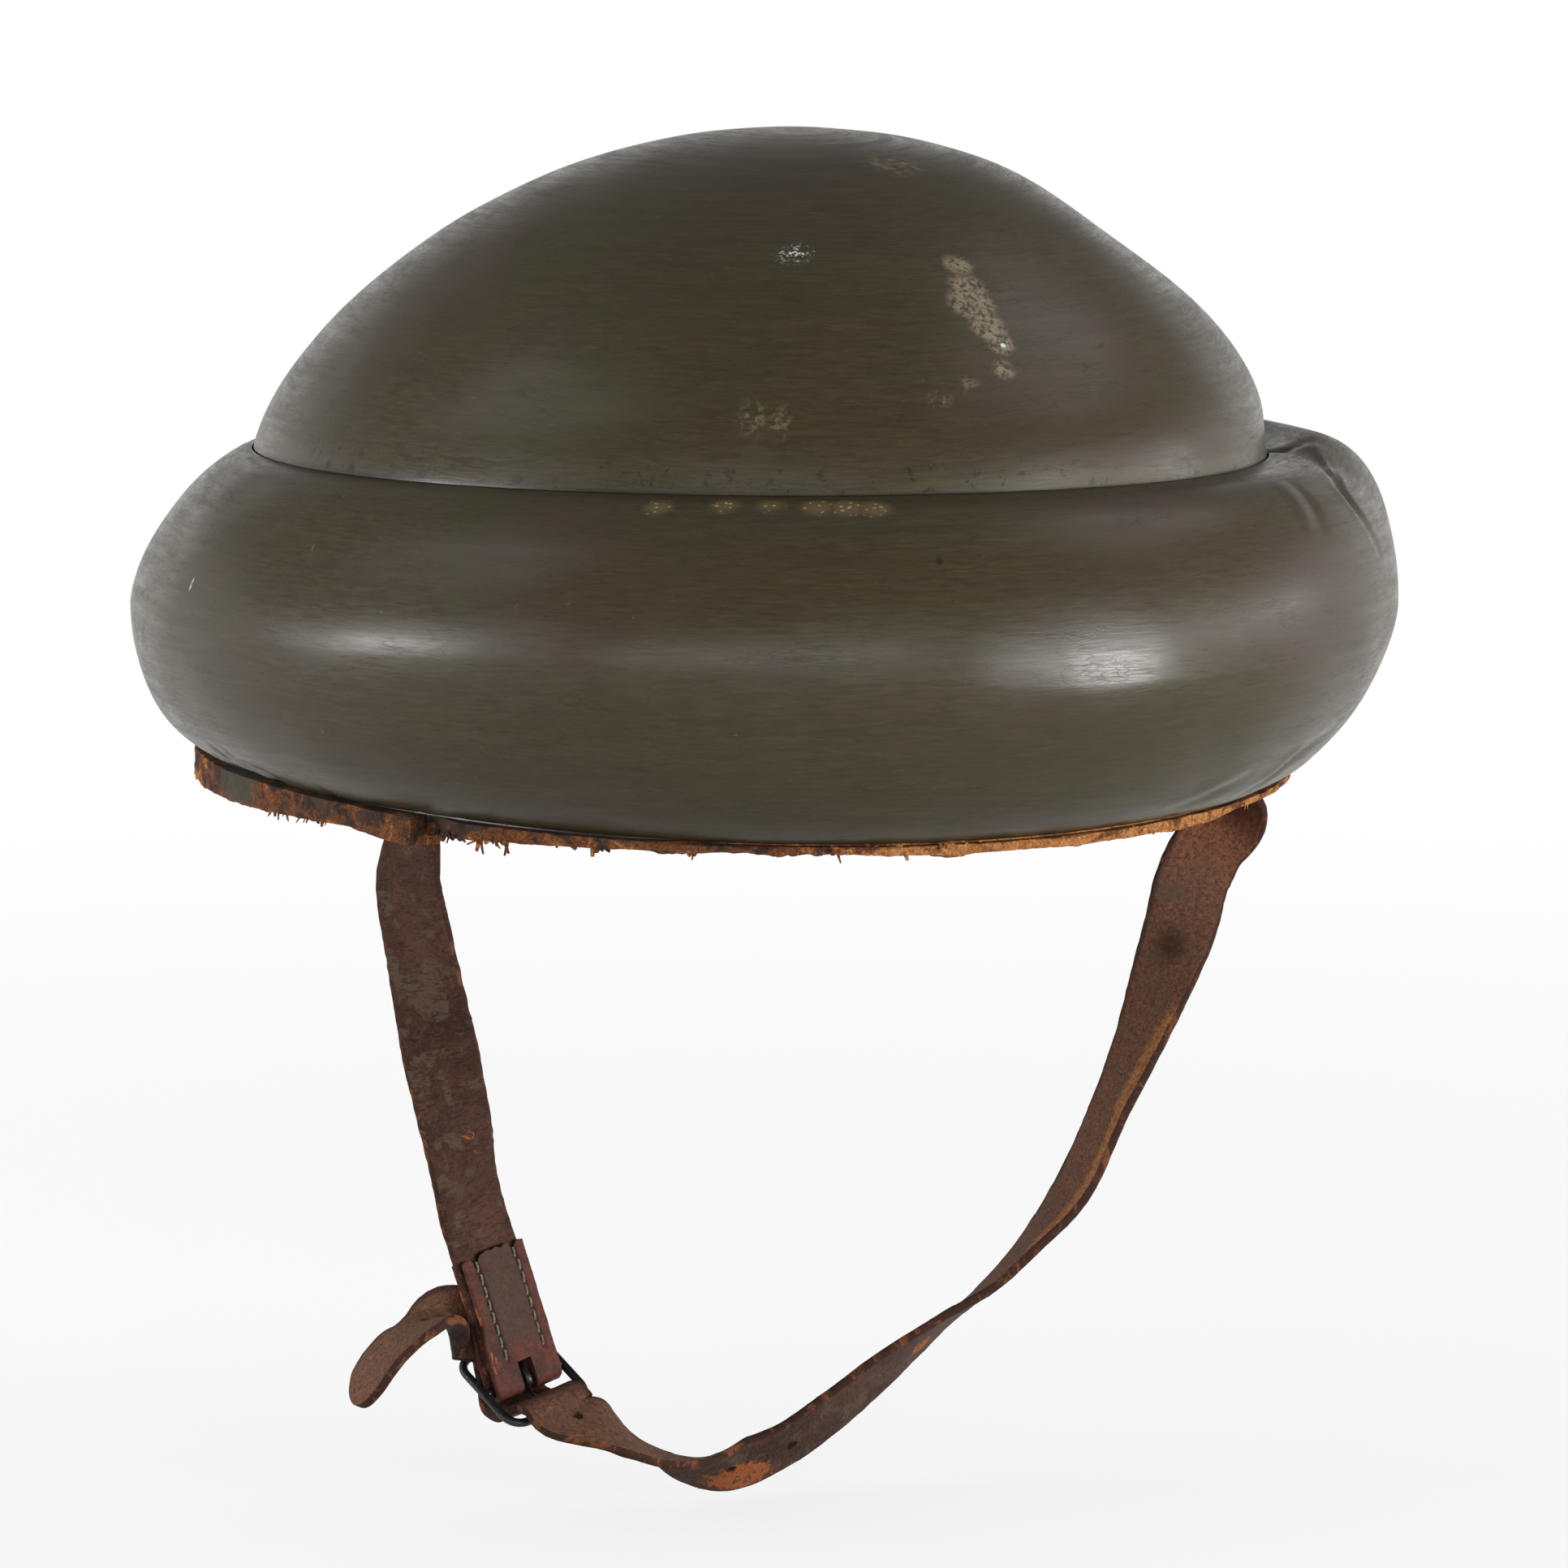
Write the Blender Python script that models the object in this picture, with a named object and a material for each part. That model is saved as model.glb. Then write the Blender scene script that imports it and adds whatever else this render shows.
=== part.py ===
"""A tank crewman's leather helmet: a moulded bowl with a padded roll round it, a lining and a chin strap.

Metres, +Z up. The origin is the centre of the head opening, on the plane of the rim.
The wearer faces -Y, and +X is the wearer's left. Blender 4.5.
"""

import math

import bmesh
import bpy
from mathutils import Matrix, Vector

MM = 0.001

# Clearances
gap = 0.3 * MM  # between pieces that touch
soft_gap = 0.4 * MM  # between a stuffed or sewn piece and its neighbour
felt_gap = 0.8 * MM  # round the felt, which is a little undersize
overrun = 3 * MM  # how far a cutter runs past what it cuts

# The bowl, one piece of moulded leather
crown_half_width = 106 * MM
crown_half_length = 121 * MM
crown_height = 137 * MM
seam_height = 69.5 * MM  # where the roll meets the bowl
shell_wall = 3.5 * MM
rim_flare = 4.5 * MM  # how far the skirt widens from the seam to the rim
rim_lean = 3.5 * MM  # how much more it widens on one side and less on the other
lean_angle = math.radians(-22)  # the side that is drawn in
rim_lift = 3 * MM  # how far the rim is drawn up on that side
flare_power = 1.5
crown_top_power = 2.14  # a higher power gives a flatter top
crown_side_power = 1.34  # a higher power gives steeper sides
crown_shift = 7 * MM  # how far the top sits towards the drawn-in side

# The padded roll
roll_bulge = 25.3 * MM  # how far it stands out from the bowl
roll_bulge_lean = 0.9 * MM  # how much less that is on the drawn-in side
roll_middle = 38.5 * MM  # height of its widest part
roll_middle_lift = 1.5 * MM  # how much higher the middle is on the drawn-in side
roll_foot = 1.2 * MM  # height of its lower seam where that is lowest
roll_foot_rise = 3.7 * MM
roll_foot_lowest = 0.25  # share of the lean where it is lowest
roll_leather = 1.8 * MM
roll_upper_power = 1.95
roll_upper_lean = 0.45
roll_lower_power = 1.72
roll_lower_lean = -0.25
stuffing_span = math.radians(72)  # of the roll's outline that the stuffing follows

# The raw strip along the rim
binding_leather = 1.5 * MM
binding_inside = 7.5 * MM  # how high it goes inside the skirt
binding_lip = 3.2 * MM  # how far it stands out under the roll
binding_lip_lean = 1.4 * MM
binding_split = 0.8 * MM  # between its two ends
binding_split_step = 28  # of the steps round the rim, close to the right-hand strap of the wearer

# The lining
room_beside_head = 26 * MM  # from the bowl's seam in to the sweatband, for the felt and the strap roots
room_along_head = 21 * MM
head_half_width = crown_half_width - room_beside_head
head_half_length = crown_half_length - room_along_head
sweatband_leather = 1.6 * MM
sweatband_foot = 3 * MM
sweatband_top = 44 * MM
tongue_leather = 1.4 * MM
tongue_foot = 35 * MM
room_over_liner = 23 * MM
liner_top = crown_height - room_over_liner
liner_top_power = 2.1
liner_side_power = 1.5
tongue_reach = math.radians(80)  # how far a tongue climbs towards the top
disc_edge = math.radians(72)
disc_leather = 1.5 * MM
crown_pad_half_width = 40 * MM
crown_pad_half_length = 46 * MM
pad_foot = 8.5 * MM
pad_top = 47 * MM
pad_edge = 3 * MM
pad_angles = {
    "left_pad": (-4, 60),
    "rear_pad": (64, 116),
    "right_pad": (120, 184),
    "front_pad": (208, 332),
}

# The chin strap
strap_width = 16 * MM
strap_thickness = 2 * MM
strap_edge = 0.45 * MM
root_setback = 33.4 * MM  # the strap roots lie this far forward of the helmet's middle
rivet_height = 16 * MM
strap_drop = 142 * MM  # from the rim down to the lowest bend
tab_above_rivet = 8 * MM
root_clearance = 2.2 * MM  # between the skirt and a strap's front corner, so that the strap can swing
under_rim_inset = 3 * MM  # how far a strap leans in to pass the rim
hole_radius = 1.3 * MM
hole_pitch = 14.5 * MM
holes_towards_root = 5
holes_towards_tip = 3

# Rivets and their washers
rivet_radius = 2 * MM
rivet_head_radius = 4 * MM
rivet_head = 1.1 * MM
rivet_peen_radius = 3.2 * MM
rivet_peen = 1.2 * MM
burr_radius = 5 * MM
burr_thickness = 1 * MM
root_play = 0.25 * MM

# The buckle
wire_radius = 0.9 * MM
frame_inner_width = 18 * MM
frame_length = 20.6 * MM  # between the middles of the end wires
frame_corner = 3.6 * MM
frame_tilt = math.radians(47)  # of the frame away from the chape
frame_play = math.radians(6)  # the room the strap leaves it, a little over its travel
prong_radius = 0.8 * MM
prong_past_frame = 1.2 * MM
prong_play = math.radians(4)
prong_hook = math.radians(250)
prong_hole_half_length = 4 * MM
chape_leather = 1.4 * MM
chape_width = 16.6 * MM
chape_length = 28 * MM
slot_side_gap = 0.9 * MM
slot_top = 4.4 * MM

# Numbers of facets
around = 48
dome_steps = 8
roll_steps = 14
liner_rows = 6
tongues = 8
tongue_gap_columns = 1  # left open between two tongues
wire_sides = 8
turned_sides = 20
strap_step = 7 * MM
strap_turn = math.radians(13)
tip_steps = 4
line_steps = 16  # points of a strap's line between two stations

PAINT = (0.052, 0.046, 0.031, 1)
RAW_EDGE = (0.12, 0.05, 0.025, 1)
STUFFING = (0.35, 0.28, 0.18, 1)
FELT = (0.28, 0.27, 0.22, 1)
LINING = (0.23, 0.12, 0.06, 1)
STRAP = (0.07, 0.035, 0.024, 1)
CHAPE = (0.11, 0.035, 0.022, 1)
COPPER = (0.42, 0.2, 0.11, 1)
BLACK_WIRE = (0.02, 0.02, 0.022, 1)


# Objects, materials and cuts


def coloured(name, colour, roughness, metallic):
    material = bpy.data.materials.new(name)
    material.use_nodes = True
    surface = material.node_tree.nodes["Principled BSDF"]
    surface.inputs["Base Color"].default_value = colour
    surface.inputs["Roughness"].default_value = roughness
    surface.inputs["Metallic"].default_value = metallic
    return material


def pivot(name, matrix, parent=None):
    """An empty on a joint's axis. parent is (empty, matrix), as this returns."""
    empty = bpy.data.objects.new(name, None)
    bpy.context.scene.collection.objects.link(empty)
    if parent:
        empty.parent = parent[0]
        empty.matrix_basis = parent[1].inverted() @ matrix
    else:
        empty.matrix_basis = matrix
    return empty, matrix


def piece(name, body, colour, roughness=0.7, metallic=0.0, on=None):
    """One object from world points and faces, carried by the pivot that on names."""
    points, faces = body
    into = on[1].inverted() if on else Matrix()
    mesh = bpy.data.meshes.new(name)
    mesh.from_pydata([into @ Vector(point) for point in points], [], faces)
    shape = bmesh.new()
    shape.from_mesh(mesh)
    bmesh.ops.recalc_face_normals(shape, faces=shape.faces)
    shape.to_mesh(mesh)
    shape.free()
    mesh.shade_smooth()
    mesh.set_sharp_from_angle(angle=math.radians(40))
    obj = bpy.data.objects.new(name, mesh)
    bpy.context.scene.collection.objects.link(obj)
    mesh.materials.append(coloured(name, colour, roughness, metallic))
    if on:
        obj.parent = on[0]
    return obj


def tool(name, body):
    """A helper that another object is cut by or joined with."""
    obj = piece(name, body, PAINT)
    obj.hide_render = True
    obj.display_type = "WIRE"
    return obj


def combine(obj, other, operation):
    modifier = obj.modifiers.new(other.name, "BOOLEAN")
    modifier.operation = operation
    modifier.object = other
    modifier.solver = "EXACT"


def cut(obj, name, body):
    combine(obj, tool(name, body), "DIFFERENCE")


# Bodies from sections


def loft(sections, closed=False):
    """Points and faces through a row of sections of the same number of points."""
    count = len(sections[0])
    points = [point for section in sections for point in section]
    faces = []
    for i in range(len(sections) if closed else len(sections) - 1):
        here = i * count
        there = (i + 1) % len(sections) * count
        for k in range(count):
            after = (k + 1) % count
            faces.append((here + k, here + after, there + after, there + k))
    if not closed:
        faces.append(tuple(range(count)))
        faces.append(tuple(range(len(points) - count, len(points))))
    return points, faces


def bowl(outer_rings, outer_top, inner_rings, inner_top):
    """A domed shell from rings that climb from its lower edge, with a point on top of each skin."""
    count = len(outer_rings[0])
    points = [point for ring in outer_rings + inner_rings for point in ring]
    outer_peak = len(points)
    points += [outer_top, inner_top]
    inner_start = len(outer_rings) * count
    faces = []
    for k in range(count):
        after = (k + 1) % count
        for start, rings, peak in ((0, outer_rings, outer_peak), (inner_start, inner_rings, outer_peak + 1)):
            for i in range(len(rings) - 1):
                low = start + i * count
                high = low + count
                faces.append((low + k, low + after, high + after, high + k))
            last = start + (len(rings) - 1) * count
            faces.append((last + k, last + after, peak))
        faces.append((k, after, inner_start + after, inner_start + k))
    return points, faces


def sheet(cells, columns, outer, inner):
    """Leather cut out of a grid of cells (column, row). outer and inner place a corner on each face."""
    points = []
    index = {}

    def corner(side, column, row):
        key = (side, column % columns, row)
        if key not in index:
            index[key] = len(points)
            points.append(side(column % columns, row))
        return index[key]

    faces = []
    for column, row in sorted(cells):
        ring = [(column, row), (column + 1, row), (column + 1, row + 1), (column, row + 1)]
        beside = [(column, row - 1), (column + 1, row), (column, row + 1), (column - 1, row)]
        faces.append([corner(outer, *place) for place in ring])
        faces.append([corner(inner, *place) for place in ring])
        for k, (next_column, next_row) in enumerate(beside):
            if (next_column % columns, next_row) not in cells:
                here, there = ring[k], ring[(k + 1) % len(ring)]
                faces.append(
                    [corner(outer, *here), corner(outer, *there), corner(inner, *there), corner(inner, *here)]
                )
    return points, faces


def turned(outline, start, axis, sides=turned_sides):
    """A solid of revolution about axis through start. The outline is (distance along, radius)."""
    axis = axis.normalized()
    across = axis.orthogonal().normalized()
    third = axis.cross(across)
    sections = []
    for distance, radius in outline:
        middle = start + axis * distance
        turn = [2 * math.pi * k / sides for k in range(sides)]
        sections.append([middle + radius * (math.cos(a) * across + math.sin(a) * third) for a in turn])
    return loft(sections)


def ring_of(outline, start, axis):
    """A turned piece with a hole: the outline is a closed loop of (distance along, radius)."""
    axis = axis.normalized()
    across = axis.orthogonal().normalized()
    third = axis.cross(across)
    sections = []
    for k in range(turned_sides):
        turn = 2 * math.pi * k / turned_sides
        out = math.cos(turn) * across + math.sin(turn) * third
        sections.append([start + axis * distance + out * radius for distance, radius in outline])
    return loft(sections, closed=True)


def box(matrix, low, high):
    """A box between two corners in the frame of a matrix."""
    ends = []
    for x in (low[0], high[0]):
        corners = ((low[1], low[2]), (high[1], low[2]), (high[1], high[2]), (low[1], high[2]))
        ends.append([matrix @ Vector((x, y, z)) for y, z in corners])
    return loft(ends)


def wire(path, radius, normal, closed=False):
    """A round wire along a flat path whose plane has this normal."""
    sections = []
    for i, point in enumerate(path):
        before = path[i - 1] if i or closed else point
        after = path[(i + 1) % len(path)] if i + 1 < len(path) or closed else point
        side = (after - before).normalized().cross(normal)
        turn = [2 * math.pi * (k + 0.5) / wire_sides for k in range(wire_sides)]
        sections.append([point + radius * (math.cos(a) * side + math.sin(a) * normal) for a in turn])
    return loft(sections, closed)


# Outlines of the helmet


def lean(angle):
    """1 on the drawn-in side of the rim, and -1 on the other."""
    return math.cos(angle - lean_angle)


def step_angle(step):
    return 2 * math.pi * step / around


def crown_point(angle, offset, height):
    across = (crown_half_width + offset) * math.cos(angle)
    along = (crown_half_length + offset) * math.sin(angle)
    return Vector((across, along, height))


def rim_height(angle):
    return rim_lift * max(0, lean(angle)) ** 3


def skirt_foot(angle):
    """The bowl's lower edge, on the strip that is folded round it."""
    return rim_height(angle) + binding_leather + gap


def roll_foot_height(angle):
    lowest = roll_foot + rim_height(angle) / 2
    return lowest + roll_foot_rise * (lean(angle) - roll_foot_lowest) ** 2


def skirt_offset(angle, height):
    """How far the skirt's outside stands out from the bowl at the seam."""
    below = max(0, 1 - height / seam_height)
    return (rim_flare - rim_lean * lean(angle)) * below**flare_power


def dome_share(climb, top_power, side_power):
    """Width and height shares of a dome at an angle from 0 at its edge to a quarter turn at its top."""
    return math.cos(climb) ** (2 / top_power), math.sin(climb) ** (2 / side_power)


def top_shift(high):
    """How far the dome leans at a share of its height."""
    return Vector((math.cos(lean_angle), math.sin(lean_angle), 0)) * crown_shift * high**2


def crown_dome(angle, climb, inset):
    wide, high = dome_share(climb, crown_top_power, crown_side_power)
    across = (crown_half_width - inset) * wide * math.cos(angle)
    along = (crown_half_length - inset) * wide * math.sin(angle)
    point = Vector((across, along, seam_height + (crown_height - inset - seam_height) * high))
    return point + top_shift(high)


def liner_dome(angle, climb, inset):
    """The dome of the lining over the head, inset from the sweatband's inner face."""
    wide, high = dome_share(climb, liner_top_power, liner_side_power)
    across = (head_half_width - inset) * wide * math.cos(angle)
    along = (head_half_length - inset) * wide * math.sin(angle)
    return Vector((across, along, sweatband_top + (liner_top - inset - sweatband_top) * high))


def dome_height(x, y, half_width, half_length, base, top, top_power, side_power):
    """Height of a dome over a point, from the same outline as dome_share."""
    reach = min(1, math.hypot(x / half_width, y / half_length))
    return base + (top - base) * (1 - reach**top_power) ** (1 / side_power)


def roll_outline(angle, inset, span=math.pi / 2):
    """The roll's outside from its top seam to its lower one, as (offset, height), set in by inset."""
    side = lean(angle)
    middle = roll_middle + roll_middle_lift * side
    foot = roll_foot_height(angle)
    bulge = roll_bulge - roll_bulge_lean * side
    lower_start = skirt_offset(angle, foot) + soft_gap
    points = []
    for k in range(roll_steps + 1):
        turn = span * (1 - 2 * k / roll_steps)
        upper = turn >= 0
        power = roll_upper_power if upper else roll_lower_power
        power += side * (roll_upper_lean if upper else roll_lower_lean)
        start = soft_gap if upper else lower_start
        height = seam_height - middle if upper else middle - foot
        wide = math.cos(turn) ** (2 / power)
        high = abs(math.sin(turn)) ** (2 / power)
        points.append((start + (bulge - start) * wide, middle + math.copysign(height * high, turn)))
    if not inset:
        return points
    inner = []
    for k, (offset, height) in enumerate(points):
        before = points[max(k - 1, 0)]
        after = points[min(k + 1, roll_steps)]
        run = math.hypot(after[0] - before[0], after[1] - before[1])
        if k in (0, roll_steps) and span == math.pi / 2:
            inner.append((offset, height + (inset if k else -inset)))
        else:
            inner.append(
                (offset + (after[1] - before[1]) / run * inset, height - (after[0] - before[0]) / run * inset)
            )
    return inner


# The bowl and the roll


def make_crown_shell():
    shares = (0, 0.2, 0.45, 0.72, 1)
    skins = []
    for inset in (0, shell_wall):
        rings = []
        for share in shares:
            ring = []
            for angle in map(step_angle, range(around)):
                foot = skirt_foot(angle)
                height = foot + (seam_height - foot) * share
                ring.append(crown_point(angle, skirt_offset(angle, height) - inset, height))
            rings.append(ring)
        for k in range(1, dome_steps):
            climb = math.pi / 2 * k / dome_steps
            rings.append([crown_dome(step_angle(step), climb, inset) for step in range(around)])
        skins.append(rings)
    top = Vector((0, 0, crown_height)) + top_shift(1)
    under = Vector((0, 0, crown_height - shell_wall)) + top_shift(1)
    shell = piece("crown_shell", bowl(skins[0], top, skins[1], under), PAINT, 0.42)
    for side, word in ((1, "left"), (-1, "right")):
        seat = rivet_seat(side)
        outline = (
            (-rivet_reach(side), rivet_radius + gap),
            (0, rivet_radius + gap),
            (0, rivet_head_radius + soft_gap),
            (roll_bulge, rivet_head_radius + soft_gap),
        )
        cut(shell, f"rivet_hole_{word}", turned(outline, seat, Vector((side, 0, 0))))


def make_roll():
    cover = []
    stuffing = []
    for angle in map(step_angle, range(around)):
        outside = roll_outline(angle, 0)
        inside = roll_outline(angle, roll_leather)
        cover.append([crown_point(angle, *place) for place in outside + inside[::-1]])
        fill = roll_outline(angle, roll_leather + soft_gap, stuffing_span)
        low, high = fill[-1][1], fill[0][1]
        back = []
        for share in (0, 0.3, 0.65, 1):
            height = low + (high - low) * share
            back.append((skirt_offset(angle, height) + soft_gap, height))
        stuffing.append([crown_point(angle, *place) for place in fill + back])
    piece("ring_cover", loft(cover, closed=True), PAINT, 0.4)
    padding = piece("ring_padding", loft(stuffing, closed=True), STUFFING, 0.95)
    for side, word in ((1, "left"), (-1, "right")):
        outline = (
            (-overrun, rivet_head_radius + soft_gap),
            (rivet_head + soft_gap, rivet_head_radius + soft_gap),
        )
        cut(padding, f"rivet_recess_{word}", turned(outline, rivet_seat(side), Vector((side, 0, 0))))


def make_rim_binding():
    """A strip with its two ends butted, folded round the rim and standing out under the roll."""
    sections = []
    last = binding_split_step + around
    for step in range(binding_split_step, last + 1):
        angle = step_angle(step)
        if step == last:
            angle -= binding_split / crown_half_width
        low = rim_height(angle)
        edge = skirt_foot(angle) - gap
        top = roll_foot_height(angle) - soft_gap
        skirt = skirt_offset(angle, edge)
        inner = skirt - shell_wall - soft_gap
        inner_top = skirt_offset(angle, binding_inside) - shell_wall - soft_gap
        lip = skirt + binding_lip - binding_lip_lean * lean(angle)
        outside_skirt = skirt + min(soft_gap, max(0, top - edge))
        outline = (
            (inner_top, binding_inside),
            (inner_top - binding_leather, binding_inside),
            (inner - binding_leather, (low + edge) / 2),
            (inner, low),
            (lip, low),
            (lip, top),
            (outside_skirt, top),
            (outside_skirt, edge),
            (inner, edge),
        )
        sections.append([crown_point(angle, *place) for place in outline])
    piece("rim_binding", loft(sections), RAW_EDGE, 0.9)


# The lining


def head_point(angle, offset, height):
    across = (head_half_width + offset) * math.cos(angle)
    along = (head_half_length + offset) * math.sin(angle)
    return Vector((across, along, height))


def make_sweatband():
    outline = (
        (0, sweatband_foot),
        (sweatband_leather, sweatband_foot),
        (sweatband_leather, sweatband_top),
        (0, sweatband_top),
    )
    sections = [[head_point(step_angle(step), *place) for place in outline] for step in range(around)]
    piece("sweatband", loft(sections, closed=True), LINING, 0.55)


def make_felt_pads():
    """Felt between the sweatband and the skirt, in four lengths that leave a pocket for each strap root."""
    for name, (start, end) in pad_angles.items():
        steps = round((end - start) / math.degrees(step_angle(1)))
        sections = []
        for k in range(steps + 1):
            angle = math.radians(start + (end - start) * k / steps)
            section = []
            heights = (
                (0, pad_foot + pad_edge),
                (0, pad_top - pad_edge),
                (1, pad_top),
                (-1, pad_top),
                (0, pad_top - pad_edge),
                (0, pad_foot + pad_edge),
                (-1, pad_foot),
                (1, pad_foot),
            )
            for corner, (inwards, height) in enumerate(heights):
                if corner in (0, 1, 2, 7):
                    offset = sweatband_leather + felt_gap + inwards * pad_edge
                    section.append(head_point(angle, offset, height))
                else:
                    offset = skirt_offset(angle, height) - shell_wall - felt_gap + inwards * pad_edge
                    section.append(crown_point(angle, offset, height))
            sections.append(section)
        piece(name, loft(sections), FELT, 0.95)


def make_liner_tongues():
    """Leather tongues sewn inside the sweatband that bend over the head, alike on the left and the right."""
    foot_rows = 1

    def place(column, row, inset):
        angle = step_angle(column + tongue_gap_columns / 2)
        if row < foot_rows:
            return head_point(angle, -inset, tongue_foot)
        climb = tongue_reach * (row - foot_rows) / liner_rows
        return liner_dome(angle, climb, inset)

    for tongue in range(tongues):
        first = tongue * around // tongues
        columns = range(first, first + around // tongues - tongue_gap_columns)
        body = sheet(
            {(column, row) for column in columns for row in range(foot_rows + liner_rows)},
            around,
            lambda column, row: place(column, row, soft_gap),
            lambda column, row: place(column, row, soft_gap + tongue_leather),
        )
        piece(f"liner_tongue_{tongue + 1}", body, LINING, 0.6)


def make_crown_disc():
    rings = []
    for inset in (-disc_leather, 0):
        climbs = (disc_edge, (disc_edge + math.pi / 2) / 2)
        rings.append([[liner_dome(step_angle(2 * k), climb, inset) for k in range(around // 2)] for climb in climbs])
    over = Vector((0, 0, liner_top + disc_leather))
    under = Vector((0, 0, liner_top))
    piece("crown_disc", bowl(rings[0], over, rings[1], under), LINING, 0.6)


def make_crown_pad():
    """Felt that fills the space between the bowl's top and the lining."""

    def over(x, y):
        inset = shell_wall + felt_gap
        sizes = (crown_half_width - inset, crown_half_length - inset, seam_height, crown_height - inset)
        height = dome_height(x, y, *sizes, crown_top_power, crown_side_power)
        return Vector((x, y, height)) + top_shift((height - seam_height) / (sizes[-1] - seam_height))

    def under(x, y):
        rise = disc_leather + felt_gap
        sizes = (head_half_width + rise, head_half_length + rise, sweatband_top, liner_top + rise)
        return Vector((x, y, dome_height(x, y, *sizes, liner_top_power, liner_side_power)))

    skins = []
    for skin in (over, under):
        rings = []
        for share in (1, 0.8, 0.55, 0.28):
            ring = []
            for k in range(around // 2):
                x = crown_pad_half_width * share * math.cos(step_angle(2 * k))
                y = crown_pad_half_length * share * math.sin(step_angle(2 * k))
                ring.append(skin(x, y))
            rings.append(ring)
        skins.append((rings, skin(0, 0)))
    piece("crown_pad", bowl(*skins[0], *skins[1]), FELT, 0.95)


# The strap roots


def skirt_inside(y, height):
    """How far out the skirt's inner face is beside a point, on the drawn-in side, which is the nearer."""
    offset = skirt_offset(lean_angle, height) - shell_wall
    return (crown_half_width + offset) * math.sqrt(1 - (y / (crown_half_length + offset)) ** 2)


def root_across():
    """Distance from the middle to the middle of a strap at its rivet."""
    front_corner = -root_setback - strap_width / 2
    return skirt_inside(front_corner, rivet_height) - root_clearance - strap_thickness / 2


def rivet_seat(side):
    """Where the rivet's head sits on the outside of the skirt."""
    front_edge = -root_setback - rivet_head_radius
    angle = math.asin(front_edge / crown_half_length)
    if side < 0:
        angle = math.pi - angle
    out = abs(crown_point(angle, skirt_offset(angle, rivet_height), rivet_height).x)
    return Vector((side * out, -root_setback, rivet_height))


def rivet_reach(side):
    """From the head's seat in to the far face of the washer."""
    return abs(rivet_seat(side).x) - root_across() + strap_thickness / 2 + gap + burr_thickness + gap


def make_rivets():
    for side, word in ((1, "left"), (-1, "right")):
        seat = rivet_seat(side)
        reach = rivet_reach(side)
        outline = (
            (-reach - rivet_peen, rivet_radius),
            (-reach - rivet_peen / 2, rivet_peen_radius),
            (-reach, rivet_peen_radius),
            (-reach, rivet_radius),
            (gap, rivet_radius),
            (gap, rivet_head_radius),
            (rivet_head / 2, rivet_head_radius),
            (rivet_head, rivet_radius),
        )
        out = Vector((side, 0, 0))
        piece(f"strap_rivet_{word}", turned(outline, seat, out), COPPER, 0.4, 0.9)
        outer = -reach + gap + burr_thickness
        hole = rivet_radius + gap
        burr = ((outer, hole), (outer, burr_radius), (-reach + gap, burr_radius), (-reach + gap, hole))
        piece(f"rivet_burr_{word}", ring_of(burr, seat, out), COPPER, 0.45, 0.9)


# Straps


def strap_line(stations):
    """Many points along a smooth curve through the stations, each with the way the grain side faces."""
    values = [(*place, *facing.normalized()) for place, facing in stations]
    spans = [max((stations[i + 1][0] - stations[i][0]).length, gap) for i in range(len(stations) - 1)]

    def slope(i, axis):
        if i == 0:
            return (values[1][axis] - values[0][axis]) / spans[0]
        if i == len(values) - 1:
            return (values[i][axis] - values[i - 1][axis]) / spans[i - 1]
        before = (values[i][axis] - values[i - 1][axis]) / spans[i - 1]
        after = (values[i + 1][axis] - values[i][axis]) / spans[i]
        return (before * spans[i] + after * spans[i - 1]) / (spans[i] + spans[i - 1])

    line = []
    for i, span in enumerate(spans):
        for k in range(line_steps):
            t = k / line_steps
            point = []
            for axis in range(len(values[0])):
                start, end = values[i][axis], values[i + 1][axis]
                out = slope(i, axis) * span
                into = slope(i + 1, axis) * span
                point.append(
                    start * (2 * t**3 - 3 * t**2 + 1)
                    + out * (t**3 - 2 * t**2 + t)
                    + end * (3 * t**2 - 2 * t**3)
                    + into * (t**3 - t**2)
                )
            line.append((Vector(point[:3]), Vector(point[3:])))
    return line + [(Vector(values[-1][:3]), Vector(values[-1][3:]))]


def line_lengths(line):
    lengths = [0.0]
    for k in range(1, len(line)):
        lengths.append(lengths[-1] + (line[k][0] - line[k - 1][0]).length)
    return lengths


def frame_at(line, lengths, distance):
    """Middle, way along, way across and grain normal of a strap at a distance from its start."""
    k = 0
    while k < len(line) - 2 and lengths[k + 1] < distance:
        k += 1
    share = (distance - lengths[k]) / max(lengths[k + 1] - lengths[k], gap / line_steps)
    middle = line[k][0].lerp(line[k + 1][0], share)
    along = (line[k + 1][0] - line[k][0]).normalized()
    if 0 < k < len(line) - 2:
        before = (line[k][0] - line[k - 1][0]).normalized()
        after = (line[k + 2][0] - line[k + 1][0]).normalized()
        along = before.lerp(after, (1 + share) / 3).normalized()
    facing = line[k][1].lerp(line[k + 1][1], share)
    across = along.cross(facing).normalized()
    return middle, along, across, across.cross(along)


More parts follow.
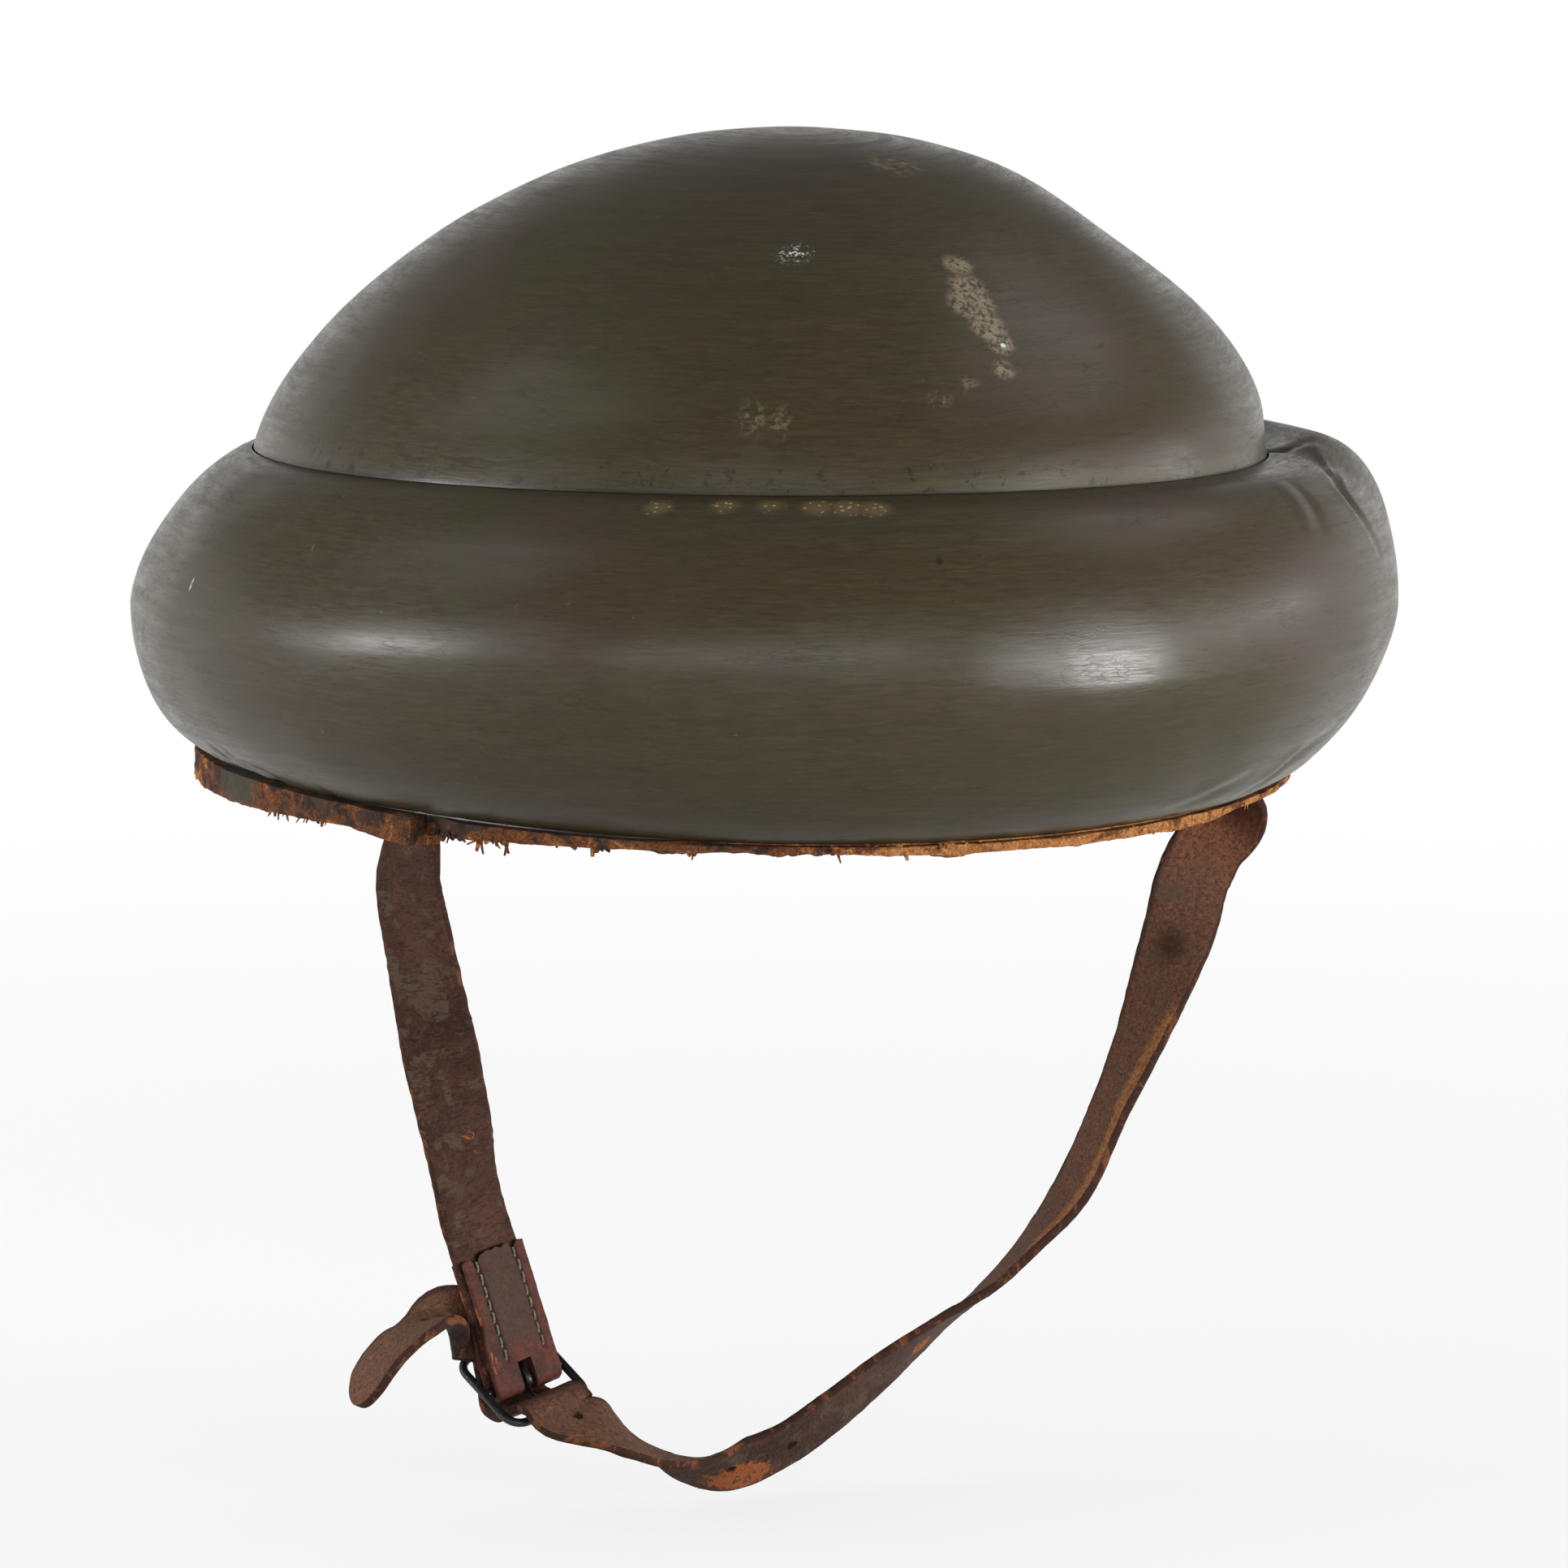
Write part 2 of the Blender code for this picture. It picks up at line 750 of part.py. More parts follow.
def strap_distances(line, lengths, round_start, round_end):
    """Distances of the sections: close together where the strap turns, twists or ends in a round."""
    radius = strap_width / 2
    total = lengths[-1]
    ends = [radius * (1 - math.cos(math.pi / 2 * k / tip_steps)) for k in range(tip_steps + 1)]
    start = ends if round_start else [0]
    finish = [total - distance for distance in reversed(ends)] if round_end else [total]
    last = start[-1]
    distances = list(start)
    _, along, across, _ = frame_at(line, lengths, last)
    for length in lengths:
        if length <= last or length >= finish[0]:
            continue
        _, here, side, _ = frame_at(line, lengths, length)
        turned_by = max(along.angle(here), across.angle(side))
        if turned_by > strap_turn or length - last > strap_step:
            distances.append(length)
            last, along, across = length, here, side
    if finish[0] - distances[-1] < strap_thickness / 2 and len(distances) > len(start):
        distances.pop()
    return distances + finish


def half_width_at(distance, total, round_start, round_end):
    radius = strap_width / 2
    nearest = min(distance if round_start else radius, total - distance if round_end else radius, radius)
    return max(math.sqrt(radius**2 - (radius - nearest) ** 2), strap_thickness / 2)


def strap_body(line, round_start, round_end):
    lengths = line_lengths(line)
    sections = []
    for distance in strap_distances(line, lengths, round_start, round_end):
        middle, _, across, normal = frame_at(line, lengths, distance)
        wide = half_width_at(distance, lengths[-1], round_start, round_end)
        thick = strap_thickness / 2
        corners = (
            (wide - strap_edge, thick),
            (wide, thick - strap_edge),
            (wide, strap_edge - thick),
            (wide - strap_edge, -thick),
            (strap_edge - wide, -thick),
            (-wide, strap_edge - thick),
            (-wide, thick - strap_edge),
            (strap_edge - wide, thick),
        )
        sections.append([middle + across * u + normal * v for u, v in corners])
    return loft(sections)


def root_stations(side):
    """The riveted tab, and the strap where it leans in past the rim."""
    out = Vector((side, 0, 0))
    lower_facing = Vector((side, -0.2, 0))
    root = Vector((side * root_across(), -root_setback, rivet_height))
    under_rim = root - out * under_rim_inset
    return [
        (root + Vector((0, 0, tab_above_rivet)), out),
        (root, out),
        (root - Vector((0, 0, tab_above_rivet)), out),
        (Vector((under_rim.x, under_rim.y, 0)), lower_facing),
    ]


def route(shares):
    """Stations from shares: across of the root's distance, forward of the strap's width, down of its drop."""
    stations = []
    for across, forward, down, facing in shares:
        place = Vector((across * root_across(), -root_setback - forward * strap_width, -down * strap_drop))
        stations.append((place, Vector(facing)))
    return stations


# Each row is (across, forward, down, grain side), chosen by hand from the way the straps hang.
buckle_strap_shares = (
    (-0.978, 0, 0.1, (-0.82, -0.57, 0)),
    (-0.952, 0, 0.2, (-0.72, -0.69, 0)),
    (-0.917, 0, 0.318, (-0.5, -0.87, 0.05)),
    (-0.89, 0, 0.402, (-0.1, -0.99, 0.1)),
    (-0.867, 0, 0.474, (0.06, -0.99, 0.12)),
)
tongue_strap_shares = (
    (1.036, 0, 0.047, (0.99, 0.14, 0)),
    (0.954, 0, 0.106, (0.5, 0.85, -0.1)),
    (0.912, 0, 0.154, (0.37, 0.92, -0.12)),
    (0.881, 0, 0.226, (0.6, 0.79, -0.2)),
    (0.832, 0, 0.311, (0.82, 0.5, -0.3)),
    (0.772, 0, 0.407, (0.93, 0.2, -0.36)),
    (0.711, 0, 0.49, (0.88, 0.04, -0.45)),
    (0.595, 0, 0.633, (0.83, 0, -0.55)),
    (0.501, 0, 0.7, (0.76, -0.2, -0.61)),
    (0.415, 0, 0.751, (0.66, -0.28, -0.7)),
    (0.271, 0, 0.812, (0.5, -0.5, -0.71)),
    (0.132, 0, 0.874, (0.42, -0.7, -0.6)),
    (0.014, 0, 0.928, (0.35, -0.75, -0.56)),
    (-0.105, 0, 0.972, (0.15, -0.75, -0.65)),
    (-0.224, 0.025, 0.993, (0, -0.75, -0.66)),
    (-0.305, 0.131, 0.986, (-0.1, -0.48, -0.87)),
    (-0.374, 0.288, 0.968, (-0.16, -0.05, -0.98)),
    (-0.448, 0.475, 0.949, (-0.3, 0.15, -0.94)),
    (-0.577, 0.756, 0.897, (-0.25, 0.5, -0.83)),
)
# In strap thicknesses, in the buckle frame: (where from, along, above, grain side).
threading_shares = (
    ("end_wire", 2, -0.22, (0, 0.12, -1)),
    ("end_wire", 0, 0, (0, -0.12, -1)),
    ("end_wire", -1.6, -1.05, (0, 0.75, -0.66)),
    ("fold", 1, 0, (0, 0.83, -0.56)),
    ("fold", -0.5, -1.85, (0, 0.5, -0.86)),
    ("far_side", 0.22, -2.3, (0, -0.5, -0.86)),
)
# In strap thicknesses, in the chape's frame: (left, up, behind the fold, grain side).
behind_chape_shares = (
    (0, 0.5, 0.55, (0, -0.35, -0.93)),
    (0, 2.2, 0.15, (0, 0, -1)),
    (0, 4.4, 0.05, (0, 0, -1)),
    (1.6, 6.5, 0.15, (0, 0, -1)),
    (4.3, 7.8, 0.3, (0, -0.1, -0.99)),
)
tail_shares = (
    (-0.912, -0.24, 0.749, (0.2, 0, -0.98)),
    (-0.969, -0.025, 0.756, (0.5, 0, -0.87)),
    (-1.028, 0, 0.782, (0.8, 0.05, -0.6)),
    (-1.076, 0, 0.822, (0.9, 0.05, -0.45)),
    (-1.104, 0, 0.86, (0.92, 0.05, -0.38)),
)
bar_shares = (-0.702, -0.21, 0.844)
bar_direction = Vector((0.942, 0.236, 0.232))
strap_end_direction = Vector((0.264, -0.114, -0.957))


# The buckle


def chape_matrix():
    """The chape's frame at the middle of the bar: X along the bar, Y up the strap, Z towards the front."""
    along_bar = bar_direction.normalized()
    up = -strap_end_direction.normalized()
    up = (up - along_bar * up.dot(along_bar)).normalized()
    front = along_bar.cross(up)
    across, forward, down = bar_shares
    turn = Matrix((along_bar, up, front)).transposed().to_4x4()
    middle = (across * root_across(), -root_setback - forward * strap_width, -down * strap_drop)
    return Matrix.Translation(middle) @ turn


def frame_matrix():
    """The buckle frame's own: X along the bar, Y towards the wire that the strap comes in over, Z to its front."""
    return chape_matrix() @ Matrix.Rotation(-frame_tilt, 4, "X") @ Matrix.Rotation(math.pi, 4, "Z")


def fold_outer_radius():
    return strap_thickness / 2 + gap + chape_leather


def make_chape(swing):
    matrix = chape_matrix()
    inner = strap_thickness / 2 + gap
    outer = fold_outer_radius()
    turn = [math.pi * k / turned_sides * 2 for k in range(turned_sides // 2 + 1)]
    outside = [(-outer * math.sin(a), outer * math.cos(a)) for a in turn]
    inside = [(-inner * math.sin(a), inner * math.cos(a)) for a in reversed(turn)]
    outline = [(chape_length, outer), *outside, (chape_length, -outer), (chape_length, -inner), *inside]
    outline.append((chape_length, inner))
    ends = []
    for side in (-chape_width / 2, chape_width / 2):
        ends.append([matrix @ Vector((side, up, front)) for up, front in outline])
    chape = piece("chape", loft(ends), CHAPE, 0.6, on=swing)
    half_slot = prong_radius + slot_side_gap
    low = (-half_slot, -outer - overrun, -outer - overrun)
    high = (half_slot, slot_top, outer + overrun)
    cut(chape, "prong_slot", box(matrix, low, high))


def make_buckle(tilt):
    matrix = tilt[1]
    half_width = frame_inner_width / 2 + wire_radius
    half_length = frame_length / 2
    normal = (matrix.to_3x3() @ Vector((0, 0, 1))).normalized()
    path = []
    corner_steps = 4
    middles = ((1, 1), (-1, 1), (-1, -1), (1, -1))
    for quarter, (right, up) in enumerate(middles):
        centre = (right * (half_width - frame_corner), up * (half_length - frame_corner))
        for k in range(corner_steps + 1):
            turn = math.pi / 2 * (quarter + k / corner_steps)
            x = centre[0] + frame_corner * math.cos(turn)
            y = centre[1] + frame_corner * math.sin(turn)
            path.append(matrix @ Vector((x, y, 0)))
    frame = piece("buckle_frame", wire(path, wire_radius, normal, closed=True), BLACK_WIRE, 0.45, 0.8, on=tilt)
    ends = [matrix @ Vector((side * half_width, 0, 0)) for side in (-1, 1)]
    combine(frame, tool("buckle_bar", wire(ends, wire_radius, normal)), "UNION")


def make_prong(lift):
    """A wire hooked round the bar that runs flat behind the frame to just past its end wire."""
    matrix = lift[1]
    hook = wire_radius + gap + prong_radius
    along_bar = (matrix.to_3x3() @ Vector((1, 0, 0))).normalized()
    path = []
    hook_steps = 12
    for k in range(hook_steps + 1):
        turn = -math.pi / 2 - prong_hook * (1 - k / hook_steps)
        path.append(matrix @ Vector((0, hook * math.cos(turn), hook * math.sin(turn))))
    path.append(matrix @ Vector((0, frame_length / 2 + wire_radius + prong_past_frame, -hook)))
    piece("buckle_prong", wire(path, prong_radius, along_bar), BLACK_WIRE, 0.45, 0.8, on=lift)


# The straps themselves


def buckle_stations():
    """Stations of the threaded strap round the frame's wires and up behind the chape."""
    frame = frame_matrix()
    chape = chape_matrix()
    half = frame_length / 2
    fold = fold_outer_radius()
    over = wire_radius + gap + half * math.sin(frame_play) + strap_thickness / 2
    behind_fold = fold + soft_gap + strap_thickness / 2
    starts = {"end_wire": (half, over), "fold": (fold, -fold), "far_side": (-fold, -fold)}
    stations = []
    for start, along, above, facing in threading_shares:
        first, second = starts[start]
        place = Vector((0, first + along * strap_thickness, second + above * strap_thickness))
        stations.append((frame @ place, frame.to_3x3() @ Vector(facing)))
    for left, up, behind, facing in behind_chape_shares:
        place = Vector((-left * strap_thickness, up * strap_thickness, -behind_fold - behind * strap_thickness))
        stations.append((chape @ place, chape.to_3x3() @ Vector(facing)))
    return stations


def make_straps(swing):
    chape = chape_matrix()
    turn = chape.to_3x3()
    stations = root_stations(-1) + route(buckle_strap_shares)
    end = slot_top + gap
    for up in (chape_length + strap_width / 2, chape_length, chape_length / 2, end):
        stations.append((chape @ Vector((0, up, 0)), turn @ Vector((0, 0, 1))))
    line = strap_line(stations)
    buckle_strap = piece("buckle_strap", strap_body(line, True, False), STRAP, 0.6, on=swing)

    stations = root_stations(1) + route(tongue_strap_shares) + buckle_stations() + route(tail_shares)
    line = strap_line(stations)
    tongue_strap = piece("tongue_strap", strap_body(line, True, True), STRAP, 0.6, on=swing)

    rivet_hole = rivet_radius + root_play
    for side, strap in ((-1, buckle_strap), (1, tongue_strap)):
        seat = rivet_seat(side)
        outline = ((-rivet_reach(side) - overrun, rivet_hole), (overrun, rivet_hole))
        cut(strap, f"root_hole_{strap.name}", turned(outline, seat, Vector((side, 0, 0))))

    frame = frame_matrix()
    hook = wire_radius + gap + prong_radius
    crossing = fold_outer_radius() + strap_thickness
    high = prong_radius + gap + frame_length / 2 * math.sin(frame_play + prong_play)
    wide = prong_radius + gap
    low_corner = (-wide, crossing - prong_hole_half_length, -hook - high)
    high_corner = (wide, crossing + prong_hole_half_length, -hook + high)
    cut(tongue_strap, "prong_hole", box(frame, low_corner, high_corner))

    lengths = line_lengths(line)
    place = frame @ Vector((0, crossing, -hook))
    crossing_length = min(zip(line, lengths), key=lambda item: (item[0][0] - place).length)[1]
    for k in range(-holes_towards_root, holes_towards_tip + 1):
        if k:
            middle, _, _, normal = frame_at(line, lengths, crossing_length + k * hole_pitch)
            outline = ((-strap_thickness, hole_radius), (strap_thickness, hole_radius))
            cut(tongue_strap, f"punched_hole_{k}", turned(outline, middle, normal, wire_sides))


def main():
    for obj in list(bpy.data.objects):
        bpy.data.objects.remove(obj, do_unlink=True)
    make_crown_shell()
    make_roll()
    make_rim_binding()
    make_sweatband()
    make_felt_pads()
    make_liner_tongues()
    make_crown_disc()
    make_crown_pad()
    make_rivets()
    swing = pivot("strap_swing_axis", Matrix.Translation((0, -root_setback, rivet_height)))
    tilt = pivot("buckle_bar_axis", frame_matrix(), swing)
    lift = pivot("prong_axis", frame_matrix(), tilt)
    make_chape(swing)
    make_buckle(tilt)
    make_prong(lift)
    make_straps(swing)


main()
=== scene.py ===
"""Looks of the leather tanker helmet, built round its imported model. Lengths in the builders are millimetres."""

import math

import bpy
import numpy as np
from mathutils import Matrix, Vector
from mathutils.kdtree import KDTree


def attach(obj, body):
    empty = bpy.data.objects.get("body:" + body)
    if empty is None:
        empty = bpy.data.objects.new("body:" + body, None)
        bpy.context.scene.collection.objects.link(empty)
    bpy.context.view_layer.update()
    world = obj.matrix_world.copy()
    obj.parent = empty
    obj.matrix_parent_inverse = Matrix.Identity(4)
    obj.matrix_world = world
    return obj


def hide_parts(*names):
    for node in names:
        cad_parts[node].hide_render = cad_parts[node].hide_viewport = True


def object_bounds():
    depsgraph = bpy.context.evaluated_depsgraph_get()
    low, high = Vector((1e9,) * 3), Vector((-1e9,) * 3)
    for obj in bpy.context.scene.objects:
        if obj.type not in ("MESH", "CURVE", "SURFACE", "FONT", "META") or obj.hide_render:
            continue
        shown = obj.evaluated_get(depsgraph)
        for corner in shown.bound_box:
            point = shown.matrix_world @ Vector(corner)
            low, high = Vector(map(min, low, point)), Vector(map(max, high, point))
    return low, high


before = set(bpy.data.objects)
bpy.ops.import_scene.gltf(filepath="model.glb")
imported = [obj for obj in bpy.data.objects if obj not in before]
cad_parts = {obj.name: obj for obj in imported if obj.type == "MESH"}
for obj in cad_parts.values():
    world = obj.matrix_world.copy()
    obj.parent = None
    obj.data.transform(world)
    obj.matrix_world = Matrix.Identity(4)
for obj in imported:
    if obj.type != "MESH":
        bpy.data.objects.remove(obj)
cad_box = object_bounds()

MM = 0.001

# The forms of part.py, in millimetres
crown_half_width = 106
crown_half_length = 121
crown_height = 137
crown_powers = (2.14, 1.34)
crown_shift = 7
seam_height = 69.5
shell_wall = 3.5
lean_angle = math.radians(-22)
head_half_width = 80
head_half_length = 100
liner_top = 114
liner_powers = (2.1, 1.5)
tongue_leather = 1.4
sweatband_top = 44
soft_gap = 0.4
gap = 0.3
rim_top = 7.5
strap_width = 16
strap_thickness = 2
root_setback = 33.4
rivet_height = 16
root_hole_radius = 2.25
strap_drop = 142
hole_pitch = 14.5
hole_radius = 1.3
wire_radius = 0.9
prong_radius = 0.8
frame_length = 20.6
frame_inner_width = 18
frame_tilt = math.radians(47)
chape_leather = 1.4
chape_length = 28
chape_half_width = 8.3
fold_radius = strap_thickness / 2 + gap + chape_leather
hook_radius = wire_radius + gap + prong_radius

# The scene's own
seam_places = (-3.9, 5.6)  # the chape's two seams, across it from its middle
seam_reach = 9.5  # how far from the seam the bowl is drawn in
roll_scale = (2.3, 95)  # millimetres to a degree round the roll, and down its whole face


# Numbers over a surface


def waves(points, size, seed):
    """Smooth noise from -1 to 1 whose swells are about size apart."""
    count = 24
    rng = np.random.default_rng(seed)
    ways = rng.normal(size=(count, 3))
    ways *= (2 * math.pi / size * rng.uniform(0.6, 1.5, count) / np.linalg.norm(ways, axis=1))[:, None]
    phases = rng.uniform(0, 2 * math.pi, count)
    return np.cos(points @ ways.T + phases).sum(-1) / math.sqrt(count) / 1.5


def lattice(cells, seed):
    """A number from -1 to 1 for each whole cell."""
    value = (cells @ (374761393, 668265263, 1440670441) + seed * 1274126177) & 0xFFFFFFFF
    value = ((value ^ (value >> 13)) * 1274126177) & 0xFFFFFFFF
    return ((value ^ (value >> 16)) & 0xFFFF) / 32767.5 - 1


def grain(points, size, seed):
    """Rough noise from about -1 to 1, with detail down from size."""
    total = np.zeros(np.shape(points)[:-1])
    for octave in range(3):
        place = np.asarray(points) * (2**octave / size) + 37.7 * octave
        cell = np.floor(place).astype(np.int64)
        share = smooth(place - cell, 0, 1)
        for corner in np.ndindex(2, 2, 2):
            near = np.where(corner, share, 1 - share).prod(-1)
            total += near * lattice(cell + corner, seed + octave) / 2**octave
    return total


def smooth(value, low, high):
    share = np.clip((value - low) / (high - low), 0, 1)
    return share * share * (3 - 2 * share)


def bell(value, width):
    return np.exp(-((value / width) ** 2))


def unit(vectors):
    return vectors / (np.linalg.norm(vectors, axis=-1, keepdims=True) + 1e-12)


def walked(points, axis=0):
    """How far each point of a row or grid is from the first, along an axis."""
    steps = np.diff(points, axis=axis, prepend=points.take([0], axis))
    return np.cumsum(np.linalg.norm(steps, axis=-1), axis=axis)


def grid_normals(points):
    """Outward normals of a grid whose first axis climbs and whose second goes round."""
    beside = np.roll(points, -1, 1) - np.roll(points, 1, 1)
    return unit(np.cross(beside, np.gradient(points, axis=0)))


def round_angles(count):
    return np.arange(count) * (2 * math.pi / count)


def degrees_apart(a, b):
    return abs((a - b + 180) % 360 - 180)


def away_from_line(u, v, line):
    """Distance of each point from a line of corners, and the share of the line at the nearest point."""
    best = np.full(u.shape, 1e9)
    share_there = np.zeros(u.shape)
    for k, (a, b) in enumerate(zip(line[:-1], line[1:])):
        way = b - a
        along = np.clip(((u - a[0]) * way[0] + (v - a[1]) * way[1]) / (way @ way), 0, 1)
        distance = np.hypot(u - a[0] - along * way[0], v - a[1] - along * way[1])
        share_there = np.where(distance < best, (k + along) / (len(line) - 1), share_there)
        best = np.minimum(distance, best)
    return best, share_there


# Materials


def add_node(tree, kind, inputs, out=0, **settings):
    """A shader node with its inputs set or linked, and one of its outputs."""
    node = tree.nodes.new("ShaderNode" + kind)
    for label, value in settings.items():
        setattr(node, label, value)
    for label, value in inputs.items():
        if isinstance(value, bpy.types.NodeSocket):
            tree.links.new(value, node.inputs[label])
        else:
            node.inputs[label].default_value = value
    return node.outputs[out]


def eased(tree, value, low, high, start, end):
    values = {0: value, 1: low, 2: high, 3: start, 4: end}
    return add_node(tree, "MapRange", values, interpolation_type="SMOOTHSTEP")


class Shader:
    """A Principled material, the nodes that feed it, and its colour as far as it is laid."""

    def __init__(self, name, colour, roughness, specular=0.5, metallic=0.0):
        self.material = bpy.data.materials.new(name)
        self.material.use_nodes = True
        self.tree = self.material.node_tree
        self.inputs = self.tree.nodes["Principled BSDF"].inputs
        self.inputs["Base Color"].default_value = (*colour, 1)
        self.inputs["Roughness"].default_value = roughness
        self.inputs["Specular IOR Level"].default_value = specular
        self.inputs["Metallic"].default_value = metallic
        self.place = self.node("TexCoord", {}, "Object")

    def node(self, kind, inputs, out=0, **settings):
        return add_node(self.tree, kind, inputs, out, **settings)

    def attribute(self, label):
        return self.node("Attribute", {}, "Vector", attribute_name=label)

    def part(self, vector, axis):
        return self.node("SeparateXYZ", {0: vector}, axis)

    def stretch(self, vector, x, y, z):
        return self.node("Mapping", {"Vector": vector, "Scale": (x, y, z)})

    def noise(self, vector, scale, detail=4.0, roughness=0.55, distortion=0.0):
        values = {"Vector": vector, "Scale": scale, "Detail": detail}
        return self.node("TexNoise", {**values, "Roughness": roughness, "Distortion": distortion})

    def cells(self, vector, scale, feature="F1"):
        return self.node("TexVoronoi", {"Vector": vector, "Scale": scale}, feature=feature)

    def rise(self, value, low, high, start=0.0, end=1.0):
        return eased(self.tree, value, low, high, start, end)

    def fall(self, value, low, high, start=1.0, end=0.0):
        return eased(self.tree, value, low, high, start, end)

    def rise_mm(self, value, low, high, start=0.0, end=1.0):
        return self.rise(value, low * MM, high * MM, start, end)

    def fall_mm(self, value, low, high, start=1.0, end=0.0):
        return self.rise(value, low * MM, high * MM, start, end)

    def math(self, operation, *values):
        """One number out of several, worked out from left to right."""
        total = values[0]
        for value in values[1:]:
            total = self.node("Math", {0: total, 1: value}, operation=operation)
        return total

    def times(self, *values):
        return self.math("MULTIPLY", *values)

    def plus(self, *values):
        return self.math("ADD", *values)

    def either(self, *values):
        return self.math("MAXIMUM", *values)

    def vector(self, operation, a, b=(0, 0, 0)):
        out = "Value" if operation in ("LENGTH", "DOT_PRODUCT") else "Vector"
        return self.node("VectorMath", {0: a, 1: b}, out, operation=operation)

    def mix(self, share, a, b):
        """Colours a and b, each a socket or three numbers."""
        a, b = ((*c, 1) if isinstance(c, tuple) else c for c in (a, b))
        return self.node("Mix", {0: share, 6: a, 7: b}, 2, data_type="RGBA")

    def two_tone(self, share, a, b):
        self.colour = self.mix(share, a, b)

    def over(self, mask, colour, amount=1.0):
        """Lays a colour over what is there, where the mask says."""
        self.colour = self.mix(self.times(mask, amount), self.colour, colour)

    def spot(self, x, y, z, radius, soft, squash=(1, 1, 1)):
        """1 close to a place in millimetres, and 0 beyond radius plus soft."""
        apart = self.vector("SUBTRACT", self.place, (x * MM, y * MM, z * MM))
        far = self.vector("LENGTH", self.vector("MULTIPLY", apart, squash))
        return self.fall_mm(far, radius, radius + soft)

    def spots(self, *rows):
        return self.either(*[self.spot(*row) for row in rows])

    def stroke(self, start, end, radius, soft=0.3):
        """1 along a line between two places in millimetres."""
        start, end = Vector(start) * MM, Vector(end) * MM
        way = tuple((end - start).normalized())
        apart = self.vector("SUBTRACT", self.place, tuple(start))
        along = self.node("Clamp", {0: self.vector("DOT_PRODUCT", apart, way), 1: 0.0, 2: (end - start).length})
        foot = self.node("VectorMath", {0: way, "Scale": along}, operation="SCALE")
        beside = self.vector("LENGTH", self.vector("SUBTRACT", apart, foot))
        return self.fall_mm(beside, radius, radius + soft)

    def finish(self, height, distance, strength, roughness=None):
        """Links the colour, the roughness and a bump of this distance in metres."""
        self.tree.links.new(self.colour, self.inputs["Base Color"])
        if roughness is not None:
            self.tree.links.new(roughness, self.inputs["Roughness"])
        bump = self.node("Bump", {"Height": height, "Distance": distance, "Strength": strength})
        self.tree.links.new(bump, self.inputs["Normal"])
        return self.material


def bowl_marks_and_painted_light(s, length, specks, grit):
    """Rubbed places, chips and nicks of the bowl, a painted highlight in a lighter band just above the seam on
    the right, and painted shade along the seam. length is the way up from the seam.
    """
    worn = s.spots(
        (8.4, -84.5, 112.6, 1.6, 2.6),
        (8.2, -90.0, 108.6, 2.2, 3.0),
        (7.4, -93.6, 105.4, 3.2, 3.0),
        (9.0, -98.5, 101.0, 2.4, 2.6),
        (10.4, -101.5, 97.8, 1.6, 2.2),
        (9.2, -106.0, 92.8, 0.8, 2.4),
    )
    s.over(s.times(worn, s.rise(grit, 0.4, 0.56)), (0.235, 0.185, 0.12), 0.75)
    faint = s.spots(
        (-43.1, -101.8, 84.6, 0.2, 4.2, (1, 1, 0.6)),
        (-38.4, -104.6, 83.6, 0.2, 3.4, (1, 1, 0.5)),
        (-6.4, -110.0, 87.1, 0.2, 3.6),
        (0.6, -108.5, 89.6, 0.2, 3.2),
        (9.8, -47.3, 131.5, 2.0, 7.0),
    )
    s.over(s.times(faint, s.rise(s.noise(s.place, 500.0, 4.0, 0.75, 0.3), 0.47, 0.62)), (0.2, 0.15, 0.085), 0.6)
    chips = s.rise(s.noise(s.place, 1300.0, 3.0, 0.7), 0.54, 0.6)
    chips = s.times(s.spot(-23.3, -75.4, 114.8, 0.6, 3.6, (0.8, 1, 1)), chips)
    s.over(s.either(chips, s.spot(10.8, -101.9, 97.4, 0.35, 0.4)), (0.5, 0.55, 0.54))
    # Painted highlight: a lighter band just above the seam on the right-hand side, where the key light catches
    # the bowl's foot.
    painted_highlight_band = s.times(s.rise_mm(length, 0.4, 1.2), s.fall_mm(length, 3.2, 5.2))
    s.over(s.times(painted_highlight_band, s.rise_mm(s.part(s.place, 0), -30, 10)), (0.1, 0.088, 0.055), 0.4)
    s.over(s.times(s.fall_mm(length, 5, 9), s.rise(specks, 0.58, 0.66)), (0.012, 0.009, 0.006), 0.7)
    nicks = s.spots(
        (-104.1, -21.0, 70.6, 0.6, 1.0),
        (-102.5, -30.3, 70.6, 0.6, 1.4),
        (-95.6, -52.1, 70.2, 0.8, 1.6),
        (-82.6, -74.2, 71.5, 0.4, 1.6),
        (-66.0, -83.6, 82.0, 0.2, 1.0, (0.35, 1, 1.6)),
    )
    s.over(s.either(nicks, s.stroke((51.0, -104.6, 70.4), (51.2, -103.9, 73.4), 0.2)), (0.01, 0.007, 0.005))
    # Painted shade: a dark strip along the seam, where the bowl meets the roll.
    s.over(s.fall_mm(length, 0.5, 1.4), (0.014, 0.011, 0.007), 0.8)


